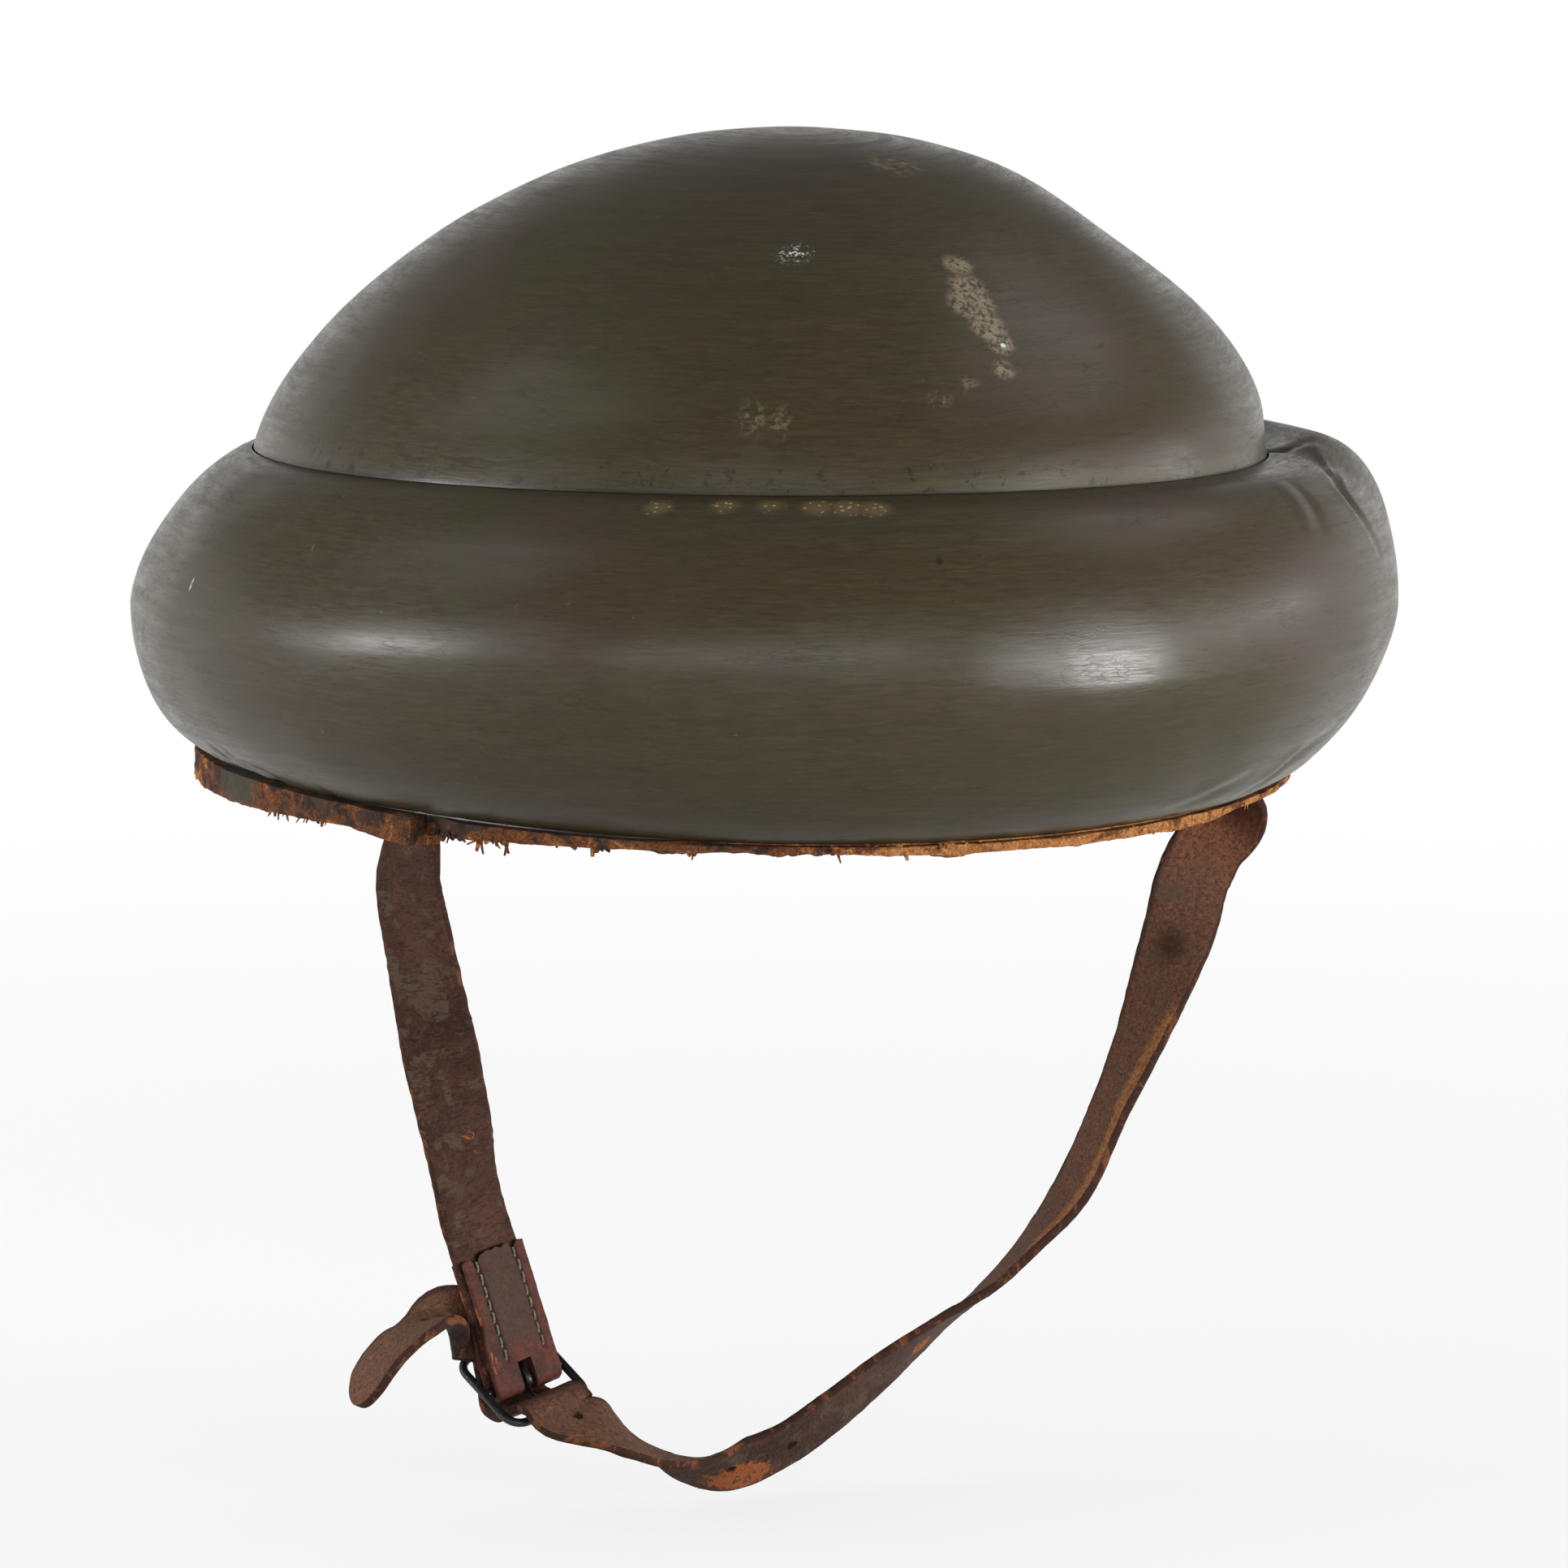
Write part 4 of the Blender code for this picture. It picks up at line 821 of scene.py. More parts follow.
def make_roll():
    angle = round_angles(600)[:, None]
    share = np.linspace(0, 1, 141)[None, :]
    outside = roll_point(angle, share)
    normals = -grid_normals(outside.swapaxes(0, 1)).swapaxes(0, 1)
    shaped = outside + normals * roll_relief(outside, angle, share)[..., None]
    tuck = tucked_in(angle) * smooth(share, 0.07, 0.0)
    shaped = shaped - unit(outside[:, :1] * (1, 1, 0)) * tuck[..., None]
    foot = roll_foot(angle)
    height = foot + (seam_height - foot) * np.array([0.08, 0.3, 0.6, 0.92])
    drawn = tucked_in(angle) * bell(seam_height - height, seam_reach)
    back = crown_point(angle, skirt_offset(angle, height) + soft_gap - drawn, height)
    sections = np.concatenate([shaped, back], axis=1)
    skin = sections.copy()
    skin[:, : share.size, 2] = walked(outside, 1)
    lofted("padded_roll", sections, True, "skin", skin)


# The raw strip along the rim


def make_rim_strip():
    """The torn strip under the roll. Its end laps over near the right-hand strap and curls down."""
    turn = np.linspace(0, 359.7, 1100)[:, None]
    angle = np.radians(210 + turn)
    low = rim_height(angle)
    edge = low + 1.5
    top = roll_foot(angle) - soft_gap
    skirt = skirt_offset(angle, edge)
    inner = skirt - shell_wall - soft_gap
    inner_top = skirt_offset(angle, rim_top) - shell_wall - soft_gap
    lap = smooth(360 - turn, 10, 1)
    lip = lip_offset(angle) - 2.6 * smooth(turn, 6, 1.5) + 1.7 * lap
    low = low - 1.9 * lap - between(angle, 252, 262, 298, 306)
    clear = skirt + np.minimum(soft_gap, np.maximum(0, top - edge))
    level = rim_top + 0 * low
    corners = (
        # how many points up to the next corner, offset and height
        (1, inner_top, level),
        (5, inner_top - 1.5, level),
        (2, inner - 1.5, (low + edge) / 2),
        (12, inner, low),
        (12, lip, low),
        (6, lip, top),
        (1, clear, np.maximum(top, low + 0.5)),
        (4, clear, edge),
        (5, inner, edge),
    )
    columns = []
    for (count, *here), (_, *there) in zip(corners, corners[1:] + corners[:1]):
        for share in np.arange(count) / count:
            columns.append([a * (1 - share) + b * share for a, b in zip(here, there)])
    offset, height = (np.concatenate(values, 1) for values in zip(*columns))
    sections = crown_point(angle, offset, height)
    shown = np.zeros(len(columns))
    shown[8:33] = 1
    shown[18:22] = 0.5
    outward = unit(oval(1, 1, angle, 0 * offset))
    rough = grain(sections, 6, 21) * 0.5 + grain(sections, 2.0, 22) * 0.26
    sections = sections + outward * (rough * shown)[..., None]
    flat = sections * (1, 1, 0)
    torn = np.maximum(0, grain(flat, 9, 23)) * 0.9 + np.maximum(0, grain(flat, 2.6, 24)) * 0.5
    sections[..., 2] -= torn * smooth(height, 2.6, 0.2) * shown
    lofted("rim_strip", sections, False)


fibre_clumps = (
    # degrees round the rim, how many fibres, how far they spread in degrees, longest in millimetres
    (213, 10, 1.5, 2.2),
    (218.5, 12, 2.0, 2.6),
    (226, 5, 1.0, 1.8),
    (229.5, 9, 1.4, 2.2),
    (239, 5, 0.6, 1.6),
    (249, 4, 0.8, 1.7),
    (252.5, 5, 1.0, 2.0),
    (188, 9, 3.0, 1.6),
    (196, 9, 3.0, 1.3),
    (258, 8, 2.5, 1.5),
    (268, 10, 6.0, 1.0),
    (284, 10, 7.0, 1.0),
    (297, 9, 3.0, 1.4),
    (311, 6, 2.0, 1.6),
    (340, 16, 12.0, 1.6),
    (10, 16, 14.0, 1.6),
    (45, 20, 16.0, 1.6),
    (85, 20, 16.0, 1.6),
    (125, 20, 16.0, 1.6),
    (160, 14, 9.0, 1.6),
)


def make_rim_fibres():
    """Frayed ends of the torn leather, each a tapered body rooted in the strip."""
    rng = np.random.default_rng(29)
    share = np.linspace(0, 1, 6)[:, None]
    turn = round_angles(6)[:, None]
    bodies = []
    for at, count, spread, longest in fibre_clumps:
        for _ in range(count):
            angle = math.radians(at + rng.normal() * spread / 2)
            inset = rng.uniform(0.5, 2.4)
            root = crown_point(angle, lip_offset(angle) - inset, rim_height(angle) + rng.uniform(0.3, 1.2))
            length = longest * rng.uniform(0.15, 0.75) + 0.8
            way = unit(oval(0.3, 0.3, angle, -1.0) + rng.normal(size=3) * 0.25)
            bend = rng.normal(size=3) * 0.35
            path = root + way * length * share + bend * length * share**2
            radius = rng.uniform(0.4, 0.95) * (1 - 0.55 * share)
            normal = unit(oval(1, 1, angle, 0.3) + rng.normal(size=3) * 0.4)
            side = unit(np.cross(unit(np.gradient(path, axis=0)), normal))
            ring = np.cos(turn) * side[:, None] + 0.35 * np.sin(turn) * normal
            bodies.append(path[:, None] + radius[:, None] * ring)
    made("rim_fibres", *gathered(bodies))


# The lining


def make_sweatband():
    inside = [(1.6, height) for height in np.linspace(6, 41, 12)]
    outline = [(0, 3.2), (0.3, 3.0), (1.3, 3.0), (1.6, 3.2), *inside]
    outline += [(1.6, 43.8), (1.3, 44.0), (0.3, 44.0), (0, 43.8)]
    outline += [(0, height) for _, height in inside[::-1]]
    sections = head_point(round_angles(288)[:, None], *np.array(outline).T)
    sections = sections + 0.12 * waves(sections, 30, 31)[..., None] * unit(sections * (1, 1, 0))
    lofted("sweatband_leather", sections, True)


def make_pads():
    """Felt between the skirt and the sweatband, thinner above it and rounded below."""
    heights = np.concatenate([np.linspace(11.5, 44, 16), [46, 47]])
    bulge = np.maximum(0, heights - 44) ** 2 / 3
    for seed, (name, (start, end)) in enumerate(pads.items()):
        angle = np.radians(np.linspace(start, end, end - start + 1))[:, None]
        inner = head_point(angle, 2.4 + bulge, heights)
        outer = crown_point(angle, skirt_offset(angle, heights) - shell_wall - 0.8 - bulge, heights)
        under_outer = crown_point(angle, skirt_offset(angle, 8.5) - shell_wall - 3.8, 8.5)
        sections = np.concatenate([inner, outer[:, ::-1], under_outer, head_point(angle, 5.4, 8.5)], 1)
        inward = unit(sections.mean(1, keepdims=True) - sections)
        sections = sections + inward * (0.25 * np.abs(grain(sections, 6, 41 + seed)))[..., None]
        lofted(f"{name}_felt", sections, False)


def make_tongues():
    """Leather tongues with bevelled edges, a little cockled."""
    depths = (soft_gap, soft_gap + tongue_leather)
    around = np.linspace(0, 1, 31)
    bevel = 0.4 + 0.6 * np.minimum(np.minimum(around, 1 - around) * 30, 1)[:, None]
    for k in range(8):
        angle = np.radians(45 * k + 3.75 + 37.5 * around)
        sections = []
        for row in (-1, -0.75, -0.5, -0.25, *np.linspace(0, 80, 41)):
            if row < 0:
                near, far = (head_point(angle, -depth, sweatband_top + 9 * row) for depth in depths)
            else:
                near, far = (liner_point(angle, math.radians(row), depth) for depth in depths)
            middle = 0.5 * (near + far)
            near, far = (middle + (side - middle) * bevel for side in (near, far))
            sections.append(np.concatenate([near, far[::-1]]))
        sections = np.array(sections)
        sway = 0.25 * waves(sections, 28, 50 + k)[..., None]
        sections = sections - np.abs(sway) * unit(sections - (0, 0, 20))
        lofted(f"liner_tongue_{k + 1}_leather", sections, False)


def make_crown_disc():
    angle = round_angles(96)[None, :]
    climb = np.linspace(math.radians(72), math.pi / 2, 16)[:, None]
    outer = liner_point(angle, climb, -1.5)
    inner = liner_point(angle, climb, 0)
    outer[-1], inner[-1] = (0, 0, liner_top + 1.5), (0, 0, liner_top)
    made("crown_disc_leather", *shell_body(outer, inner))


def make_crown_pad():
    under_bowl, over_liner = -shell_wall - 0.8, 2.3
    angle = round_angles(96)[None, :]
    share = np.linspace(1, 0, 24)[:, None]
    x, y = 40 * share * np.cos(angle), 46 * share * np.sin(angle)

    def dome_height(half_width, half_length, base, top, powers, offset):
        reach = np.minimum(1, np.hypot(x / (half_width + offset), y / (half_length + offset)))
        return base + (top + offset - base) * (1 - reach ** powers[0]) ** (1 / powers[1])

    over = dome_height(crown_half_width, crown_half_length, seam_height, crown_height, crown_powers, under_bowl)
    high = (over - seam_height) / (crown_height + under_bowl - seam_height)
    outer = np.stack([x, y, over - 0 * x], -1) + leaning(crown_shift * high**2)
    under = dome_height(head_half_width, head_half_length, sweatband_top, liner_top, liner_powers, over_liner)
    outer[..., 2] -= 0.2 * np.abs(grain(outer, 7, 61))
    made("crown_pad_felt", *shell_body(outer, np.stack([x, y, under], -1)))


# Straps, as in part.py


def strap_line(stations, steps=24):
    """Places and grain directions along a smooth curve through the stations."""
    places = np.array([place for place, _ in stations], float)
    values = np.hstack([places, unit(np.array([facing for _, facing in stations], float))])
    spans = np.maximum(np.linalg.norm(np.diff(places, axis=0), axis=1), gap)[:, None]
    rates = np.diff(values, axis=0) / spans
    inner = (rates[:-1] * spans[1:] + rates[1:] * spans[:-1]) / (spans[1:] + spans[:-1])
    slopes = np.vstack([rates[:1], inner, rates[-1:]])
    t = (np.arange(steps) / steps)[None, :, None]
    start, end, span = values[:-1, None], values[1:, None], spans[:, None]
    line = start * (2 * t**3 - 3 * t**2 + 1) + slopes[:-1, None] * span * (t**3 - 2 * t**2 + t)
    line = line + end * (3 * t**2 - 2 * t**3) + slopes[1:, None] * span * (t**3 - t**2)
    return np.vstack([line.reshape(-1, 6), values[-1:]])


def strap_frames(line, distances):
    """Middle, way across and grain normal at each distance along a strap."""
    lengths = walked(line[:, :3])
    nudge = 0.6

    def at(where):
        return np.stack([np.interp(where, lengths, column) for column in line.T], 1)

    along = unit((at(distances + nudge) - at(distances - nudge))[:, :3])
    values = at(distances)
    across = unit(np.cross(along, values[:, 3:]))
    return values[:, :3], across, unit(np.cross(across, along))


def root_across():
    offset = skirt_offset(lean_angle, rivet_height) - shell_wall
    front = -root_setback - strap_width / 2
    reach = (crown_half_width + offset) * math.sqrt(1 - (front / (crown_half_length + offset)) ** 2)
    return float(reach - 2.2 - strap_thickness / 2)


def root_stations(side):
    root, out = side * root_across(), (side, 0, 0)
    stations = [((root, -root_setback, rivet_height + above), out) for above in (8, 0, -8)]
    return stations + [((root - 3 * side, -root_setback, 0), (side, -0.2, 0))]


def route(shares):
    """Stations from shares: across of the root's distance, forward of the strap's width, down of its drop."""
    stations = []
    for across, forward, down, facing in shares:
        place = (across * root_across(), -root_setback - forward * strap_width, -down * strap_drop)
        stations.append((place, facing))
    return stations


buckle_strap_shares = (
    (-0.978, 0, 0.1, (-0.82, -0.57, 0)),
    (-0.952, 0, 0.2, (-0.72, -0.69, 0)),
    (-0.917, 0, 0.318, (-0.5, -0.87, 0.05)),
    (-0.89, 0, 0.402, (-0.1, -0.99, 0.1)),
    (-0.867, 0, 0.474, (0.06, -0.99, 0.12)),
)
tongue_strap_shares = (
    (1.036, 0, 0.047, (0.99, 0.14, 0)),
    (0.954, 0, 0.106, (0.5, 0.85, -0.1)),
    (0.912, 0, 0.154, (0.37, 0.92, -0.12)),
    (0.881, 0, 0.226, (0.6, 0.79, -0.2)),
    (0.832, 0, 0.311, (0.82, 0.5, -0.3)),
    (0.772, 0, 0.407, (0.93, 0.2, -0.36)),
    (0.711, 0, 0.49, (0.88, 0.04, -0.45)),
    (0.595, 0, 0.633, (0.83, 0, -0.55)),
    (0.501, 0, 0.7, (0.76, -0.2, -0.61)),
    (0.415, 0, 0.751, (0.66, -0.28, -0.7)),
    (0.271, 0, 0.812, (0.5, -0.5, -0.71)),
    (0.132, 0, 0.874, (0.42, -0.7, -0.6)),
    (0.014, 0, 0.928, (0.35, -0.75, -0.56)),
    (-0.105, 0, 0.972, (0.15, -0.75, -0.65)),
    (-0.224, 0.025, 0.993, (0, -0.75, -0.66)),
    (-0.305, 0.131, 0.986, (-0.1, -0.48, -0.87)),
    (-0.374, 0.288, 0.968, (-0.16, -0.05, -0.98)),
    (-0.448, 0.475, 0.949, (-0.3, 0.15, -0.94)),
    (-0.577, 0.756, 0.897, (-0.25, 0.5, -0.83)),
)
threading_shares = (
    ("end_wire", 2, -0.22, (0, 0.12, -1)),
    ("end_wire", 0, 0, (0, -0.12, -1)),
    ("end_wire", -1.6, -1.05, (0, 0.75, -0.66)),
    ("fold", 1, 0, (0, 0.83, -0.56)),
    ("fold", -0.5, -1.85, (0, 0.5, -0.86)),
    ("far_side", 0.22, -2.3, (0, -0.5, -0.86)),
)
behind_chape_shares = (
    (0, 0.5, 0.55, (0, -0.35, -0.93)),
    (0, 2.2, 0.15, (0, 0, -1)),
    (0, 4.4, 0.05, (0, 0, -1)),
    (1.6, 6.5, 0.15, (0, 0, -1)),
    (4.3, 7.8, 0.3, (0, -0.1, -0.99)),
)
tail_shares = (
    (-0.912, -0.24, 0.749, (0.2, 0, -0.98)),
    (-0.969, -0.025, 0.756, (0.5, 0, -0.87)),
    (-1.028, 0, 0.782, (0.8, 0.05, -0.6)),
    (-1.076, 0, 0.822, (0.9, 0.05, -0.45)),
    (-1.104, 0, 0.86, (0.92, 0.05, -0.38)),
)


def chape_matrix():
    """The chape's frame at the middle of the bar: X along the bar, Y up the strap, Z towards the front."""
    along_bar = Vector((0.942, 0.236, 0.232)).normalized()
    up = -Vector((0.264, -0.114, -0.957)).normalized()
    up = (up - along_bar * up.dot(along_bar)).normalized()
    turn = Matrix((along_bar, up, along_bar.cross(up))).transposed().to_4x4()
    middle = (-0.702 * root_across(), -root_setback + 0.21 * strap_width, -0.844 * strap_drop)
    return Matrix.Translation(middle) @ turn


def frame_matrix():
    """The buckle's frame: X along the bar, Y towards the end wire, Z to its front."""
    return chape_matrix() @ Matrix.Rotation(-frame_tilt, 4, "X") @ Matrix.Rotation(math.pi, 4, "Z")


def turned(matrix, ways):
    return np.asarray(ways, float) @ np.array(matrix)[:3, :3].T


def placed(matrix, points):
    """Points in the frame of a matrix, as an array of world points."""
    return turned(matrix, points) + np.array(matrix)[:3, 3]


def buckle_stations():
    inside, chape = frame_matrix(), chape_matrix()
    half = frame_length / 2
    over = wire_radius + gap + half * math.sin(math.radians(6)) + strap_thickness / 2
    behind_fold = fold_radius + soft_gap + strap_thickness / 2
    starts = {
        "end_wire": (half, over),
        "fold": (fold_radius, -fold_radius),
        "far_side": (-fold_radius, -fold_radius),
    }
    stations = []
    for start, along, above, facing in threading_shares:
        first, second = starts[start]
        place = (0, first + along * strap_thickness, second + above * strap_thickness)
        stations.append((placed(inside, place), turned(inside, facing)))
    for left, up, behind, facing in behind_chape_shares:
        place = (-left * strap_thickness, up * strap_thickness, -behind_fold - behind * strap_thickness)
        stations.append((placed(chape, place), turned(chape, facing)))
    return stations


def strap_sections(line, round_end, seed):
    """Sections of a strap with rounded edges, and their place in the strap: across, along and side."""
    total = walked(line[:, :3])[-1]
    radius = strap_width / 2
    ends = radius * (1 - np.cos(np.linspace(0, math.pi / 2, 14)))
    finish = total - ends[::-1] if round_end else np.array([total])
    middle = np.linspace(ends[-1], finish[0], int((finish[0] - ends[-1]) / 0.9))
    distances = np.concatenate([ends[:-1], middle, finish[1:]])
    near = np.minimum(np.minimum(distances, total - distances if round_end else radius), radius)
    wide = np.maximum(np.sqrt(radius**2 - (radius - near) ** 2), 0.6)[:, None]
    flat = 0 * distances
    edges = [np.stack([distances, flat + start, flat], -1) for start in (0, 9)]
    nibbles = [0.24 * np.abs(grain(points, 3.2, seed + 7)) for points in edges]
    bend = 0.55
    half_profile = [(share, 0, 1) for share in np.linspace(-1, 1, 17)]
    half_profile += [(1, math.cos(turn), math.sin(turn)) for turn in np.radians(np.linspace(67.5, -67.5, 7))]
    edge, out, side = np.vstack([half_profile, np.negative(half_profile)]).T
    nibble = np.where(edge < 0, nibbles[0][:, None], nibbles[1][:, None])
    u = edge * (wide - bend - nibble * np.abs(edge)) + out * bend
    middles, across, normal = (values[:, None] for values in strap_frames(line, distances))
    sections = middles + across * u[..., None] + normal * (side * strap_thickness / 2)[:, None]
    face = np.where(out == 0, side, 0)
    lie = np.stack(np.broadcast_arrays(u, distances[:, None], face / MM), -1)
    ridge = 0.12 * grain(sections, 2.2, seed) + 0.1 * waves(sections, 14, seed + 1)
    return sections + (ridge * face)[..., None] * normal, lie


def cut_out(obj, name, points, faces):
    """Cuts a mesh out of a piece, and gives the piece its strap vectors back from the nearest old points."""
    old = np.empty(len(obj.data.vertices) * 3, np.float32)
    obj.data.attributes["strap"].data.foreach_get("vector", old)
    tree = KDTree(len(obj.data.vertices))
    for vertex in obj.data.vertices:
        tree.insert(vertex.co, vertex.index)
    tree.balance()
    mesh = bpy.data.meshes.new(name)
    mesh.from_pydata((points * MM).tolist(), [], faces)
    cutter = linked(name, mesh)
    modifier = obj.modifiers.new(name, "BOOLEAN")
    modifier.operation, modifier.solver, modifier.object = "DIFFERENCE", "EXACT", cutter
    bpy.context.view_layer.update()
    graph = bpy.context.evaluated_depsgraph_get()
    cut = bpy.data.meshes.new_from_object(obj.evaluated_get(graph))
    obj.modifiers.clear()
    near = [tree.find(vertex.co)[1] for vertex in cut.vertices]
    cut.attributes["strap"].data.foreach_set("vector", old.reshape(-1, 3)[near].reshape(-1))
    obj.data = cut
    bpy.data.objects.remove(cutter, do_unlink=True)


def hole(middle, axis, across, wide, long):
    """A body to cut a round hole or a slot with: middle, the way through, a way across and half sizes."""
    turn = round_angles(28)[:, None]
    ring = across * (wide * np.cos(turn)) + np.cross(axis, across) * (long * np.sin(turn))
    return np.array([middle + axis * end + ring for end in (-1.6, 1.6)])


def root_hole(side):
    middle = np.array((side * root_across(), -root_setback, rivet_height))
    return hole(middle, np.array((1, 0, 0)), np.array((0, 1, 0)), root_hole_radius, root_hole_radius)


def make_straps():
    chape, inside = chape_matrix(), frame_matrix()
    stations = root_stations(-1) + route(buckle_strap_shares)
    for up in (chape_length + strap_width / 2, chape_length, chape_length / 2, 4.7):
        stations.append((placed(chape, (0, up, 0)), turned(chape, (0, 0, 1))))
    sections, lie = strap_sections(strap_line(stations), False, 71)
    left = lofted("buckle_strap_leather", sections, False, "strap", lie)
    cut_out(left, "left_root_hole", *gathered([root_hole(-1)]))

    stations = root_stations(1) + route(tongue_strap_shares) + buckle_stations() + route(tail_shares)
    line = strap_line(stations)
    sections, lie = strap_sections(line, True, 81)
    right = lofted("tongue_strap_leather", sections, False, "strap", lie)
    crossing = placed(inside, (0, fold_radius + strap_thickness, -hook_radius))
    nearest = walked(line[:, :3])[np.argmin(np.linalg.norm(line[:, :3] - crossing, axis=1))]
    holes = [root_hole(1)]
    for k in (-5, -4, -3, -2, -1, 1, 2, 3):
        frames = strap_frames(line, np.array([nearest + k * hole_pitch]))
        middle, across, normal = (value[0] for value in frames)
        holes.append(hole(middle, normal, across, hole_radius, hole_radius))
    holes.append(hole(crossing, turned(inside, (0, 0, 1)), turned(inside, (1, 0, 0)), 1.15, 4.0))
    cut_out(right, "strap_holes", *gathered(holes))


def beside_seams(x, width):
    return sum(bell(x - place, width) for place in seam_places)


def make_chape():
    """Thin leather folded round the bar and sewn over the strap's end, with a slot for the prong."""
    matrix = chape_matrix()
    thick = chape_leather / 2
    radius = fold_radius - thick
    levels = np.linspace(0, chape_length, 70)
    turns = np.linspace(0, math.pi, 30)[1:-1]
    rows = [(level, radius, 0.0, 1.0) for level in levels[::-1]]
    rows += [(-radius * math.sin(a), radius * math.cos(a), -math.sin(a), math.cos(a)) for a in turns]
    rows += [(level, -radius, 0.0, -1.0) for level in levels]
    across = np.linspace(-1, 1, 67)
    round_edge = np.minimum((1 - np.abs(across)) * chape_half_width / 0.5, 1) ** 0.5
    thin = thick * (0.3 + 0.7 * round_edge)
    near, far = [], []
    for level, front, up_share, front_share in rows:
        left = chape_half_width - 1.1 * smooth(level, 7.0, 15.0)
        x = across * (chape_half_width + left) / 2 + (chape_half_width - left) / 2
        nibble = 0.12 * grain(np.array([[level, front_share * 9.0, 3.0]]), 2.5, 91)
        x = x + np.sign(across) * nibble * np.abs(across) ** 8
        flat = 0 * x
        torn = 0.5 * grain(np.stack([x, flat + 4 * front_share, flat], -1), 2.4, 93)
        torn = torn - 1.6 * beside_seams(x, 0.7) - 1.2 * bell(x + 8.0, 1.6)
        level_torn = level + torn * smooth(level, chape_length - 4.0, chape_length)
        raised = 0.22 * smooth(x, -4.4, -2.6) * smooth(x, 6.0, 4.6) - 0.4 * beside_seams(x, 0.5)
        raised = raised * smooth(level, 3.5, 6.5) - 0.55 * smooth(level, 22.0, 28.0)
        rough = 0.07 * grain(np.stack([x, flat + level, flat + 5 * front_share], -1), 3.0, 92)
        out = thin + raised * round_edge + rough
        near.append(np.stack([x, level_torn + up_share * out, front + front_share * out], -1))
        far.append(np.stack([x, level_torn - up_share * thin, front - front_share * thin], -1)[::-1])
    local = np.concatenate([near, far], axis=1)
    piece = lofted("chape_fold", placed(matrix, local), False, "strap", local)
    corners = [(x, y, z) for x in (-1.7, 1.7) for y, z in ((-6, -6), (4.4, -6), (4.4, 6), (-6, 6))]
    points = placed(matrix, corners)
    faces = [(0, 1, 2, 3), (7, 6, 5, 4), (0, 4, 5, 1), (1, 5, 6, 2), (2, 6, 7, 3), (3, 7, 4, 0)]
    cut_out(piece, "chape_slot", points, facing_out(points, faces))


def wire_body(path, normal, radius, closed=False, sides=20):
    """Sections of a round wire along a flat path, closed over at open ends by small rings."""
    step = np.roll(path, -1, 0) - np.roll(path, 1, 0) if closed else np.gradient(path, axis=0)
    along = unit(step)
    side = unit(np.cross(along, normal))
    turn = round_angles(sides)[:, None]
    ring = np.cos(turn) * side[:, None] + np.sin(turn) * normal
    sections = path[:, None] + radius * ring
    if closed:
        return sections
    caps = []
    for end, way in ((0, -1), (-1, 1)):
        angles = [k / 3.2 * math.pi / 2 for k in (1, 2, 3)]
        outs = [along[end] * way * math.sin(a) + math.cos(a) * ring[end] for a in angles]
        caps.append([path[end] + radius * out for out in outs])
    return np.concatenate([caps[0][::-1], sections, caps[1]])


def make_stitches():
    """Two rows of waxed linen stitches sunk in the chape's seams, on both faces."""
    matrix = chape_matrix()
    normal = turned(matrix, (0, 0, 1))
    rng = np.random.default_rng(17)
    share = np.linspace(-1, 1, 9)
    bodies = []
    for side in (1, -1):
        for row in seam_places:
            for up in np.arange(6.6, 27.4, 2.75):
                x = row + rng.uniform(-0.12, 0.12)
                height = fold_radius - 0.08 - 0.55 * smooth(up, 22.0, 28.0) - 0.3 * np.abs(share) ** 3
                path = placed(matrix, np.stack([x + 0.16 * share, up + 1.02 * share, side * height], -1))
                bodies.append(wire_body(path, normal, 0.27, sides=8))
    made("chape_thread", *gathered(bodies))


# The buckle


def make_buckle():
    matrix = frame_matrix()
    normal, along_bar = turned(matrix, (0, 0, 1)), turned(matrix, (1, 0, 0))
    half_width = frame_inner_width / 2 + wire_radius
    half_length = frame_length / 2
    corner = 3.6
    path = []
    for quarter, (right, up) in enumerate(((1, 1), (-1, 1), (-1, -1), (1, -1))):
        for turn in math.pi / 2 * (quarter + np.linspace(0, 1, 9)):
            x = right * (half_width - corner) + corner * math.cos(turn)
            path.append((x, up * (half_length - corner) + corner * math.sin(turn), 0))
    lofted("buckle_wire_frame", wire_body(placed(matrix, path), normal, wire_radius, True), True)
    path = placed(matrix, [(x, 0, 0) for x in np.linspace(-half_width, half_width, 24)])
    lofted("buckle_bar", wire_body(path, normal, wire_radius * 0.98), False)

    turns = -math.pi / 2 - math.radians(250) * np.linspace(1, 0, 33)
    path = [(0, hook_radius * math.cos(turn), hook_radius * math.sin(turn)) for turn in turns]
    reach = half_length + wire_radius + 1.2
    path += [(0, y, -hook_radius) for y in np.linspace(0, reach, 20)[1:]]
    lofted("prong_wire", wire_body(placed(matrix, path), along_bar, prong_radius), False)


# Light, floor and camera


softboxes = (
    # name, azimuth, elevation, distance, width, height, how bright it looks
    ("key_softbox", 36, -1.5, 1.4, 0.34, 0.13, 66.0),
    ("key_spill", 31, -1, 1.5, 1.0, 0.2, 16.0),
    ("high_right_softbox", 82, 52, 1.5, 1.0, 0.6, 1.3),
    ("high_left_softbox", -105, 45, 1.5, 0.9, 0.7, 1.3),
    ("right_strip", 72, 4, 1.4, 0.9, 0.12, 8.0),
    ("left_softbox", -95, 4, 1.2, 0.6, 0.26, 19.0),
    ("front_strip", -28, 3, 1.6, 1.6, 0.18, 8.5),
)


def direction(azimuth, elevation):
    a, e = math.radians(azimuth), math.radians(elevation)
    return Vector((math.sin(a) * math.cos(e), -math.cos(a) * math.cos(e), math.sin(e)))


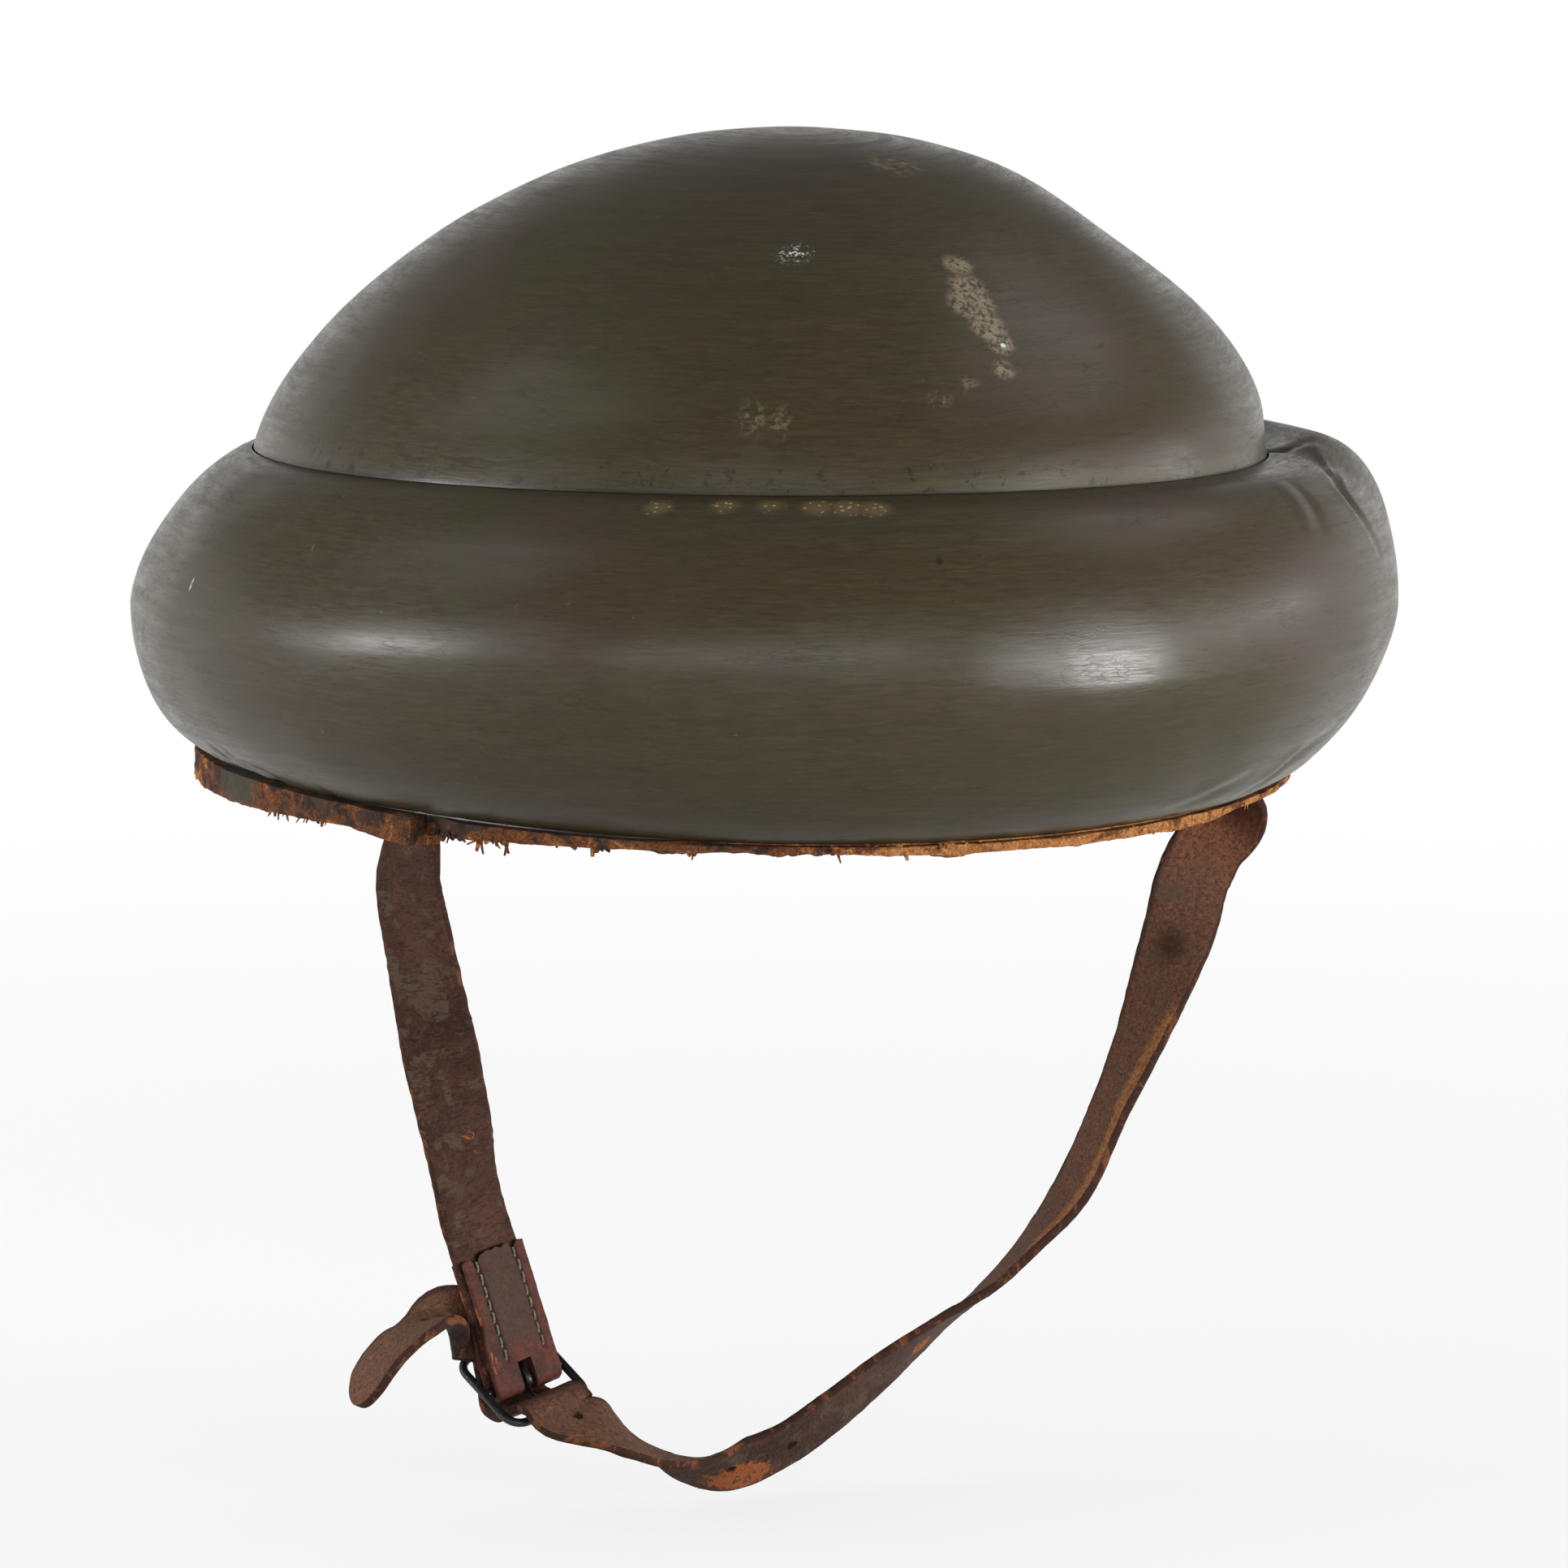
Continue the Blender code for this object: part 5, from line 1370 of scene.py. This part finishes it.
def make_softboxes():
    """Area lamps that face the helmet."""
    for name, azimuth, elevation, reach, wide, tall, radiance in softboxes:
        data = bpy.data.lights.new(name, "AREA")
        data.shape = "RECTANGLE"
        data.size, data.size_y = wide, tall
        data.energy = radiance * math.pi * wide * tall
        lamp = linked(name, data)
        way = direction(azimuth, elevation)
        lamp.location = Vector((0, 0, 0.05)) + way * reach
        lamp.rotation_euler = way.to_track_quat("Z", "Y").to_euler()


def seen_share(tree):
    """1 for the rays that show the background, straight or in shiny and clear things, and 0 for the rest."""
    path = tree.nodes.new("ShaderNodeLightPath")
    seen = path.outputs["Is Camera Ray"]
    for label in ("Is Glossy Ray", "Is Transmission Ray"):
        seen = add_node(tree, "Math", {0: seen, 1: path.outputs[label]}, operation="MAXIMUM")
    return seen


def make_world():
    """White at eye level and darker overhead where it is seen, and a light from behind for the rest."""
    world = bpy.data.worlds.new("studio")
    world.use_nodes = True
    bpy.context.scene.world = world
    tree = world.node_tree
    way = add_node(tree, "TexCoord", {}, "Generated")
    height = add_node(tree, "SeparateXYZ", {0: way}, "Z")
    behind = add_node(tree, "VectorMath", {0: way, 1: (0.37, 0.92, 0.1)}, "Value", operation="DOT_PRODUCT")
    wall = eased(tree, height, 0.08, 0.45, 1.0, 0.2)
    light = {0: eased(tree, behind, -0.6, 0.6, 0.35, 1.9), 1: eased(tree, height, 0.1, 0.85, 1.0, 0.35)}
    light = add_node(tree, "Math", light, operation="MULTIPLY")
    strength = add_node(tree, "Mix", {0: seen_share(tree), 2: light, 3: wall}, data_type="FLOAT")
    background = tree.nodes["Background"].inputs
    background["Color"].default_value = (1, 1, 1, 1)
    tree.links.new(strength, background["Strength"])


def make_floor():
    """A pale floor just under the strap. It is grey to the light that it throws back on the helmet."""
    ground, size = float(cad_box[0][2]) - 0.0015, 6.0
    mesh = bpy.data.meshes.new("floor")
    corners = [(x * size, y * size, ground) for x, y in ((-1, -1), (1, -1), (1, 1), (-1, 1))]
    mesh.from_pydata(corners, [], [(0, 1, 2, 3)])
    floor = linked("floor", mesh)
    material = bpy.data.materials.new("floor")
    material.use_nodes = True
    tree = material.node_tree
    tree.nodes.clear()
    output = tree.nodes.new("ShaderNodeOutputMaterial")
    seen = seen_share(tree)
    far = {0: add_node(tree, "TexCoord", {}, "Object")}
    far = add_node(tree, "VectorMath", far, "Value", operation="LENGTH")
    glow = add_node(tree, "Emission", {"Color": (1, 1, 1, 1), "Strength": 1.0})
    share = add_node(tree, "Math", {0: seen, 1: eased(tree, far, 0.3, 1.2, 0.74, 1.0)}, operation="MULTIPLY")
    tone = {0: seen, 6: (0.15, 0.15, 0.15, 1), 7: (0.8, 0.8, 0.8, 1)}
    matt = add_node(tree, "BsdfDiffuse", {"Color": add_node(tree, "Mix", tone, 2, data_type="RGBA")})
    surface = add_node(tree, "MixShader", {0: share, 1: matt, 2: glow})
    tree.links.new(surface, output.inputs["Surface"])
    mesh.materials.append(material)


def make_camera():
    data = bpy.data.cameras.new("camera")
    data.lens = 184
    data.sensor_width = 36
    data.clip_end = 50
    camera = linked("camera", data)
    azimuth = -22
    way = direction(azimuth, 7)
    right = Vector((math.cos(math.radians(azimuth)), math.sin(math.radians(azimuth)), 0))
    up = way.cross(right)
    target = right * 4.47 * MM - up * 1.9 * MM
    camera.matrix_world = Matrix.Translation(target + way * 1.7) @ Matrix((right, up, way)).transposed().to_4x4()
    bpy.context.scene.camera = camera


def main():
    bpy.context.scene.view_settings.view_transform = "Standard"
    make_camera()
    make_softboxes()
    make_world()
    make_floor()
    make_crown()
    make_roll()
    make_rim_strip()
    make_rim_fibres()
    make_sweatband()
    make_pads()
    make_tongues()
    make_crown_disc()
    make_crown_pad()
    make_straps()
    make_chape()
    make_stitches()
    make_buckle()
    copper_metal = copper()
    for name in ("strap_rivet_left", "strap_rivet_right", "rivet_burr_left", "rivet_burr_right"):
        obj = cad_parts[name]
        obj.data.materials.clear()
        obj.data.materials.append(copper_metal)


main()
